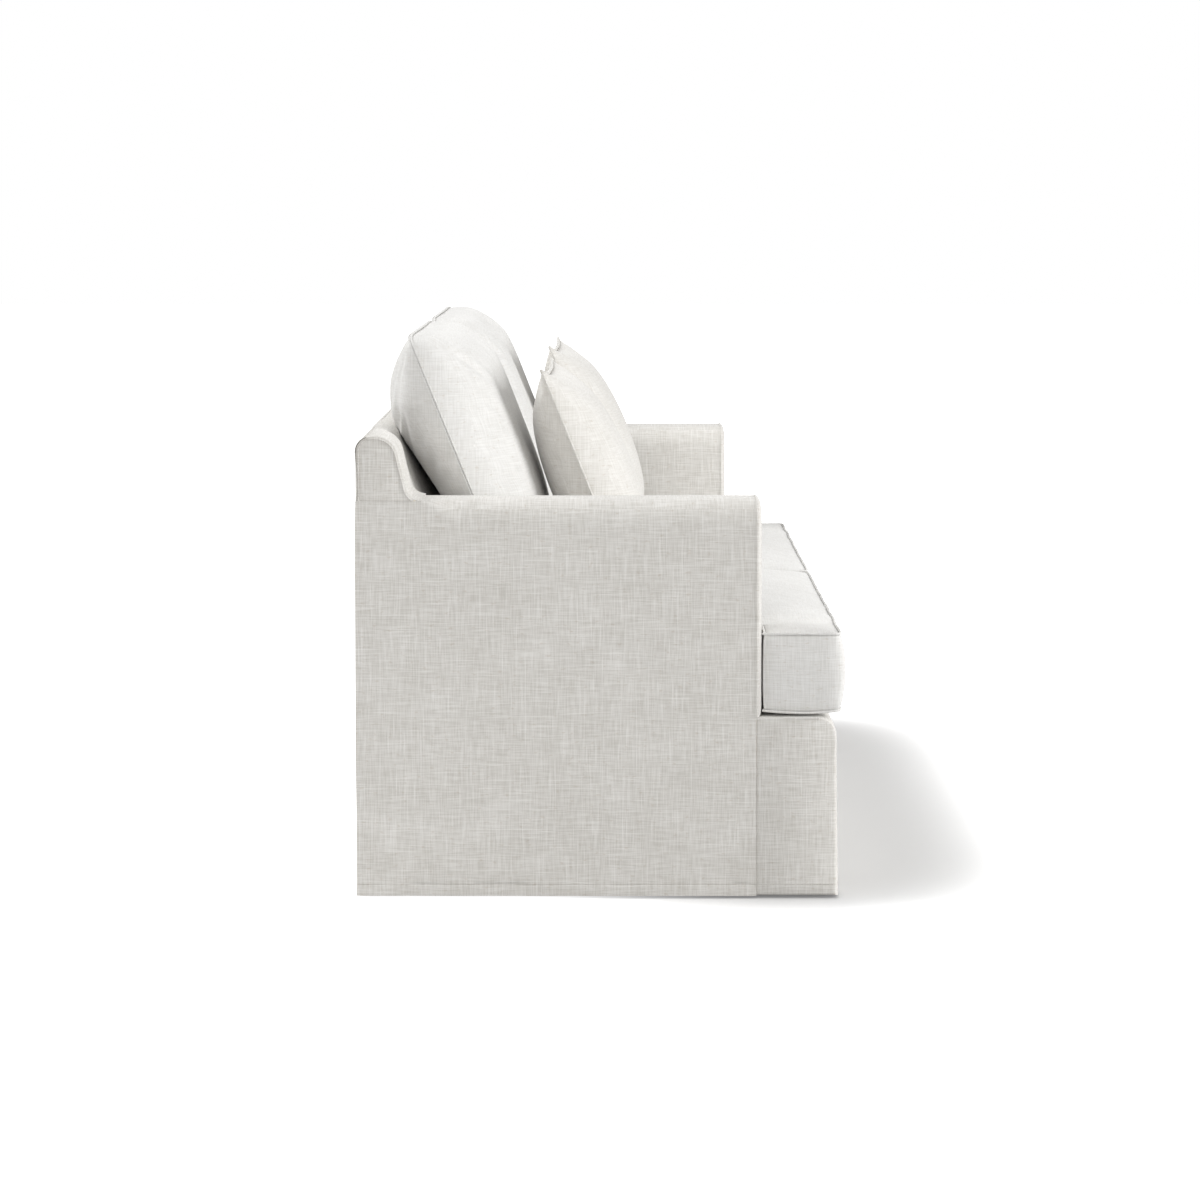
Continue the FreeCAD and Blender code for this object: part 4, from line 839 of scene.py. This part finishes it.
def fill_out(piece, pressure, frames, cap, held, stretch, bending):
    """Blows the case up with Cloth until it is full, and caps how far a point may move."""
    start = [v.co.copy() for v in piece.data.vertices]
    take(piece)
    cloth = piece.modifiers.new("fill", "CLOTH")
    settings = cloth.settings
    settings.quality = 5
    settings.mass = 0.15
    settings.tension_stiffness = settings.compression_stiffness = 15
    settings.shear_stiffness = 5
    settings.bending_stiffness = bending
    settings.use_pressure = True
    settings.uniform_pressure_force = pressure
    settings.shrink_min = -stretch
    settings.effector_weights.gravity = 0
    settings.vertex_group_mass = held
    cloth.collision_settings.use_collision = False
    cloth.point_cache.frame_start = 1
    cloth.point_cache.frame_end = frames
    for step in range(1, frames + 1):
        scene.frame_set(step)
    bpy.ops.object.modifier_apply(modifier=cloth.name)
    scene.frame_set(1)
    for point, first in zip(piece.data.vertices, start):
        move = point.co - first
        if move.length > cap:
            point.co = first + move * (cap / move.length)
    piece.data.update()


def along(cell, first_cells, last_cells, start, turn, end):
    """Where a row of cells lies that is divided in two runs."""
    if cell <= first_cells:
        return start + (turn - start) * cell / first_cells
    return turn + (end - turn) * (cell - first_cells) / last_cells


def seat_place(p):
    """A point of the flat case, from the unit grid."""
    column = (p.x + 0.5) * (CELLS_IN + CELLS_RETURN)
    row = (p.y + 0.5) * (CELLS_FRONT + CELLS_REAR)
    return Vector((along(column, CELLS_IN, CELLS_RETURN, SEAT_IN, SEAT_OUT, SEAT_RETURN),
                   along(row, CELLS_FRONT, CELLS_REAR, SEAT_FRONT, SEAT_SHOULDER, SEAT_REAR), WELT_LOW))


def on_edge(p):
    """Whether a point of the flat case lies on its outline."""
    sides = (abs(p.x - SEAT_IN), abs(p.y - SEAT_FRONT),
             abs(p.x - SEAT_RETURN) + 9 * max(0, p.y - SEAT_SHOULDER),
             abs(p.y - SEAT_SHOULDER) + 9 * max(0, SEAT_OUT - p.x),
             abs(p.x - SEAT_OUT) + 9 * max(0, SEAT_SHOULDER - p.y), abs(p.y - SEAT_REAR))
    return min(sides) < 0.0008


def walk(points):
    """Puts the points of a closed line in order, each one followed by its nearest neighbour."""
    left = list(points)
    line = [left.pop(0)]
    while left:
        nearest = min(range(len(left)), key=lambda i: (left[i] - line[-1]).length_squared)
        line.append(left.pop(nearest))
    return line


seat = grid("seat_cushion_soft_right", CELLS_IN + CELLS_RETURN, CELLS_FRONT + CELLS_REAR, seat_place)
open_up(seat)
pick("FACE", lambda p: p.x > SEAT_OUT and p.y > SEAT_SHOULDER)
bpy.ops.mesh.delete(type="FACE")
everything()
push(z=BOXING)
cut_along(lambda a, b: abs(a.z - b.z) > 0.1, 10)
everything()
bpy.ops.mesh.remove_doubles(threshold=CLOSE)
bpy.ops.mesh.normals_make_consistent(inside=False)
close_up()
welts = [[v.index for v in seat.data.vertices if abs(v.co.z - level) < CLOSE and on_edge(v.co)]
         for level in (WELT_LOW, WELT_HIGH)]
SEAT_CORNERS = ((SEAT_IN, SEAT_FRONT), (SEAT_RETURN, SEAT_FRONT), (SEAT_RETURN, SEAT_SHOULDER),
                (SEAT_OUT, SEAT_REAR), (SEAT_IN, SEAT_REAR))
for point in seat.data.vertices:
    # corners are a little rounded, and the welts run in slight waves
    p = point.co
    for corner_x, corner_y in SEAT_CORNERS:
        inward = Vector((math.copysign(1, SEAT_MIDDLE[0] - corner_x),
                         math.copysign(1, SEAT_MIDDLE[1] - corner_y), 0))
        near = math.hypot(p.x - corner_x, p.y - corner_y)
        p += inward * CORNER_ROUND * math.exp(-(near / CORNER_REACH) ** 2)
    p.z += SEAT_WAVE * noise.noise(Vector((p.x * 9, p.y * 9, p.z * 3)))
    if p.y < SEAT_FRONT + 0.01:
        p.y += FRONT_WAVE * noise.noise(Vector((p.x * 11, 3.0, p.z * 5)))
for point in seat.data.vertices:
    # the boxing swells between its welts, most at the front, and the lower welt sags along the return
    p = point.co
    share = max(0, min(1, (p.z - WELT_LOW) / BOXING))
    swell = 4 * share * (1 - share)
    if p.y < SEAT_FRONT + 0.004:
        p.y -= FRONT_SWELL * swell
    if p.x > SEAT_RETURN - 0.004:
        p.x += SIDE_SWELL * swell
    if p.x > SEAT_OUT and share < 0.05:
        run = (p.y - SEAT_FRONT) / (SEAT_SHOULDER - SEAT_FRONT)
        p.z -= WELT_SAG * math.sin(math.pi * max(0, min(1, run)))
seat_pins = seat.vertex_groups.new(name="welts")
for ring in welts:
    seat_pins.add(ring, 1.0, "REPLACE")
fill_out(seat, 4.0, 20, 0.024, held="welts", stretch=0.004, bending=2.0)
rings = [walk([seat.data.vertices[i].co.copy() for i in ring]) for ring in welts]
for point in seat.data.vertices:
    # the case lies flat on the deck, and against the arm, the other cushion and the back
    p = point.co
    p.z = max(p.z, SEAT_BOX_LOW.z + 0.0003)
    p.x = max(p.x, 0.0008)
    if p.y > SEAT_SHOULDER - 0.02 and p.x < SEAT_OUT + 0.02:
        p.x = min(p.x, ARM_IN - 0.001)
    if p.x > SEAT_OUT + 0.002:
        p.y = min(p.y, FACING_LOW.y - 0.0042)
    p.y = min(p.y, SEAT_BOX_HIGH.y + 0.002)
refine(seat, 70)
for piece in dress_both(seat, "seat_cushion_right", cushion_linen,
                        ["seat_cushion_case_right"]):
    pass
for ring, word in zip(rings, ("low", "high")):
    welt = seam_cord(f"seat_welt_{word}_right", ring, WELT, closed=True)
    dress_both(welt, "seat_cushion_right", cushion_linen)
corner_line = []
for step in range(13):
    corner = Vector((SEAT_RETURN, SEAT_SHOULDER, WELT_LOW + BOXING * step / 12))
    corner_line.append(min(seat.data.vertices, key=lambda v: (v.co - corner).length_squared).co.copy())
corner_welt = seam_cord("seat_welt_return_right", corner_line, WELT)
dress_both(corner_welt, "seat_cushion_right", cushion_linen)
repaint(speckled("zip_tape", (0.72, 0.69, 0.62), (0.60, 0.57, 0.50), 700, 0.85), "seat_zip")
repaint(speckled("zip_metal", (0.70, 0.68, 0.62), (0.55, 0.53, 0.48), 1200, 0.35, 1.0, 0.1), "zip_slider")

# Back cushions: loose knife-edged cushions of fibre in a linen bag, its front and rear panels sewn
# together by a corded seam all round. They lean on the raked back and sit on the seat cushions.
BACK_LOW, BACK_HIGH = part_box("back_cushion_case_right")
BACK_WIDE = BACK_HIGH.x - BACK_LOW.x
BACK_MIDDLE = (BACK_LOW.x + BACK_HIGH.x) / 2
BACK_TALL = 0.528
BACK_FRONT, BACK_BEHIND = 0.108, 0.088
BACK_CORD, BACK_CORD_OUT = 0.0021, 0.0014
CLEAR = 0.0003
BAG_GAP = 0.004
MIDWAY = BAG_GAP / 2
BAG_SHARE = 0.95
SEAM_REACH = 0.012
EDGE_IN = 0.0015
fibre_bag = speckled("fibre_bag", (0.83, 0.82, 0.79), (0.75, 0.74, 0.70), 500, 0.9)


def bag(name, wide, tall, cells_wide, cells_tall):
    """Two panels of cloth sewn at their edges and lying flat."""
    made = grid(name, cells_wide, cells_tall, lambda p: Vector((p.x * wide, p.y * tall, 0)))
    open_up(made)
    everything()
    push(z=BAG_GAP)
    everything()
    bpy.ops.mesh.normals_make_consistent(inside=False)
    close_up()
    return made


def edge_pairs(made):
    """The points along the sewn edge, walked round once: the rear panel's and the front's above it."""
    points = [v.co for v in made.data.vertices]
    counts = {}
    for face in made.data.polygons:
        if all(points[i].z < MIDWAY for i in face.vertices):
            for key in face.edge_keys:
                counts[key] = counts.get(key, 0) + 1
    rim = [key for key, uses in counts.items() if uses == 1]
    following = {}
    for a, b in rim:
        following.setdefault(a, []).append(b)
        following.setdefault(b, []).append(a)
    start = rim[0][0]
    line, before, here = [start], None, start
    while True:
        step = [n for n in following[here] if n != before][0]
        if step == start:
            break
        line.append(step)
        before, here = here, step
    above = {}
    for edge in made.data.edges:
        a, b = sorted(edge.vertices, key=lambda i: points[i].z)
        if points[b].z - points[a].z > MIDWAY:
            above[a] = b
    return [(i, above[i]) for i in line]


def plump(name, wide, tall, front, behind, cells, ear, corner, bending, front_form, rear_form):
    """A filled bag, lying with its front up. The forms give each panel's crown at shares of its half width
    and of its height."""
    made = bag(name, wide, tall, *cells)
    pairs = edge_pairs(made)
    for point in made.data.vertices:
        p = point.co
        across, up = 2 * p.x / wide, 2 * p.y / tall
        u, v = min(1, abs(across)), min(1, max(0, up / 2 + 0.5))
        if p.z > MIDWAY:
            p.z += front * front_form(u, v)
        else:
            p.z -= behind * rear_form(u, v)
        # each side is drawn in towards its middle, so that the corners stand out as ears
        p.x -= across * ear * (1 - abs(up) ** 3)
        p.y -= up * ear * (1 - abs(across) ** 3)
        p.x -= across * corner * (across * up) ** 10
        p.y -= up * corner * (across * up) ** 10
    outline = [v.co.copy() for v in made.data.vertices]
    rim = made.vertex_groups.new(name="seam")
    rim.add([i for pair in pairs for i in pair], 1.0, "REPLACE")
    fill_out(made, 3.0, 14, 0.012, held="seam", stretch=0.012, bending=bending)
    for point, first in zip(made.data.vertices, outline):
        # no part of a panel stands out past the seam
        p = point.co
        p.x = max(min(p.x, abs(first.x) + SEAM_REACH), -abs(first.x) - SEAM_REACH)
        if abs(first.x) < wide / 2 - 0.004:
            p.x = max(min(p.x, wide / 2 - EDGE_IN), EDGE_IN - wide / 2)
        if abs(first.y) < tall / 2 - 0.004:
            p.y = max(min(p.y, tall / 2 - EDGE_IN), EDGE_IN - tall / 2)
        p.y += tall / 2
        p.z -= MIDWAY
    points = [v.co for v in made.data.vertices]
    front_scale = front / max(p.z for p in points)
    rear_scale = behind / -min(p.z for p in points)
    for p in points:
        p.z *= front_scale if p.z > 0 else rear_scale
    made.data.update()
    return made, pairs


def inner_bag(name, case, heart):
    """The bag of fibre inside a case: the case's own form, drawn in towards its heart."""
    made = copy_of(case, name)
    for point in made.data.vertices:
        point.co = heart.lerp(point.co, BAG_SHARE)
    smooth(made, 80)
    return made


def outward(p, heart, reach):
    """A point moved away from a heart."""
    return p + (p - heart).normalized() * reach


def inside_back_at(level):
    """Y of the raked inside of the back at a height."""
    return ROLL_Y - ROLL / math.cos(LEAN) - (WING_TOP - ROLL - level) * math.tan(LEAN)


def lean_back(points, middle, level, offset, yaw):
    """Stands lying points up along the back: its lower seam at a level, so far in front of the back."""
    foot = Vector((middle, inside_back_at(level) - offset / math.cos(LEAN), level))
    turn = Matrix.Rotation(math.radians(yaw), 3, "Z")
    up = Vector((0, math.sin(LEAN), math.cos(LEAN)))
    front = Vector((0, -math.cos(LEAN), math.sin(LEAN)))
    for p in points:
        p[:] = foot + turn @ (Vector((p.x, 0, 0)) + up * p.y + front * p.z)


def back_front_form(u, v):
    """The front is full right up to its top seam, and slacker below."""
    tail = abs(2 * v - 1)
    return (1 - u ** (2.8 + 4.0 * v * v)) ** 0.52 * (1 - tail ** (5.5 if v > 0.5 else 2.4)) ** 0.5


def back_rear_form(u, v):
    """The rear swells out over the roll of the back, and hangs clear of the back below it."""
    peak = 0.80
    rise = (v / peak) ** 1.1 if v < peak else (1 - ((v - peak) / (1 - peak)) ** 1.7) ** 0.62
    return (1 - u ** (9 - 5 * v)) ** 0.5 * rise


back_soft, back_pairs = plump("back_cushion_soft_right", BACK_WIDE, BACK_TALL, BACK_FRONT,
                              BACK_BEHIND + 0.008, (96, 64), 0.003, 0.014, 1.5,
                              back_front_form, back_rear_form)
lean_back([v.co for v in back_soft.data.vertices], BACK_MIDDLE, BACK_LOW.z, BACK_BEHIND + CLEAR, 0)
back_seam = [[back_soft.data.vertices[i].co.copy() for i in spots] for spots in back_pairs]
BACK_HEART = sum((spots[0] for spots in back_seam), Vector()) / len(back_seam)
back_bag = inner_bag("back_cushion_bag_right", back_soft, BACK_HEART)
bags = dress_both(back_bag, "back_cushion_right", fibre_bag, ["back_cushion_fill_right"],
                  laid=False)
refine(back_soft)
for word, share in (("rear", -0.05), ("front", 1.05)):
    line = [outward(behind.lerp(front, share), BACK_HEART, BACK_CORD_OUT) for behind, front in back_seam]
    cord = seam_cord(f"back_cushion_seam_{word}_right", line, BACK_CORD, closed=True)
    dress_both(cord, "back_cushion_right", cushion_linen)
cases = dress_both(back_soft, "back_cushion_right", cushion_linen,
                   ["back_cushion_case_right"])

# Throw pillows: two square knife-edged pillows of a creamier linen, full of fibre, with sharp corners and
# a corded seam. They lean side by side on the back cushions.
PILLOW = 0.440
PILLOW_CROWN = 0.077
PILLOW_OFFSET = 0.2808
PILLOW_YAW = -1.5
PILLOW_CORD, PILLOW_CORD_OUT = 0.0031, 0.0036
PILLOW_HEART = Vector((0, PILLOW / 2, 0))


def pillow_form(u, v):
    """A pillow's crown falls off evenly to its seams."""
    return ((1 - u ** 2.6) * (1 - abs(2 * v - 1) ** 2.2)) ** 0.54


pillow, pillow_pairs = plump("throw_pillow_soft_right", PILLOW, PILLOW, PILLOW_CROWN, PILLOW_CROWN, (60, 60),
                             0.015, 0.0, 1.0, pillow_form, pillow_form)
pillow_points = pillow.data.vertices
pillow_seam = [outward((pillow_points[a].co + pillow_points[b].co) / 2, PILLOW_HEART, PILLOW_CORD_OUT)
               for a, b in pillow_pairs]
pillow_bag = inner_bag("throw_pillow_bag_right", pillow, PILLOW_HEART)
refine(pillow)
lying_case, lying_bag = pillow.data.copy(), pillow_bag.data.copy()
for word in ("right", "left"):
    if word == "left":
        pillow = copy_of(pillow, "throw_pillow_soft_left", lying_case)
        pillow_bag = copy_of(pillow_bag, "throw_pillow_bag_left", lying_bag)
    low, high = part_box(f"pillow_case_{word}")
    line = [p.copy() for p in pillow_seam]
    for group in ([v.co for v in pillow.data.vertices], [v.co for v in pillow_bag.data.vertices], line):
        lean_back(group, (low.x + high.x) / 2, low.z, PILLOW_OFFSET, PILLOW_YAW)
    pillow.data.update()
    dress(pillow_bag, f"throw_pillow_{word}", fibre_bag, [f"pillow_fill_{word}"], laid=False)
    dress(pillow, f"throw_pillow_{word}", pillow_linen, [f"pillow_case_{word}"])
    cord = seam_cord(f"throw_pillow_seam_{word}", line, PILLOW_CORD, closed=True)
    dress(cord, f"throw_pillow_{word}", pillow_linen)
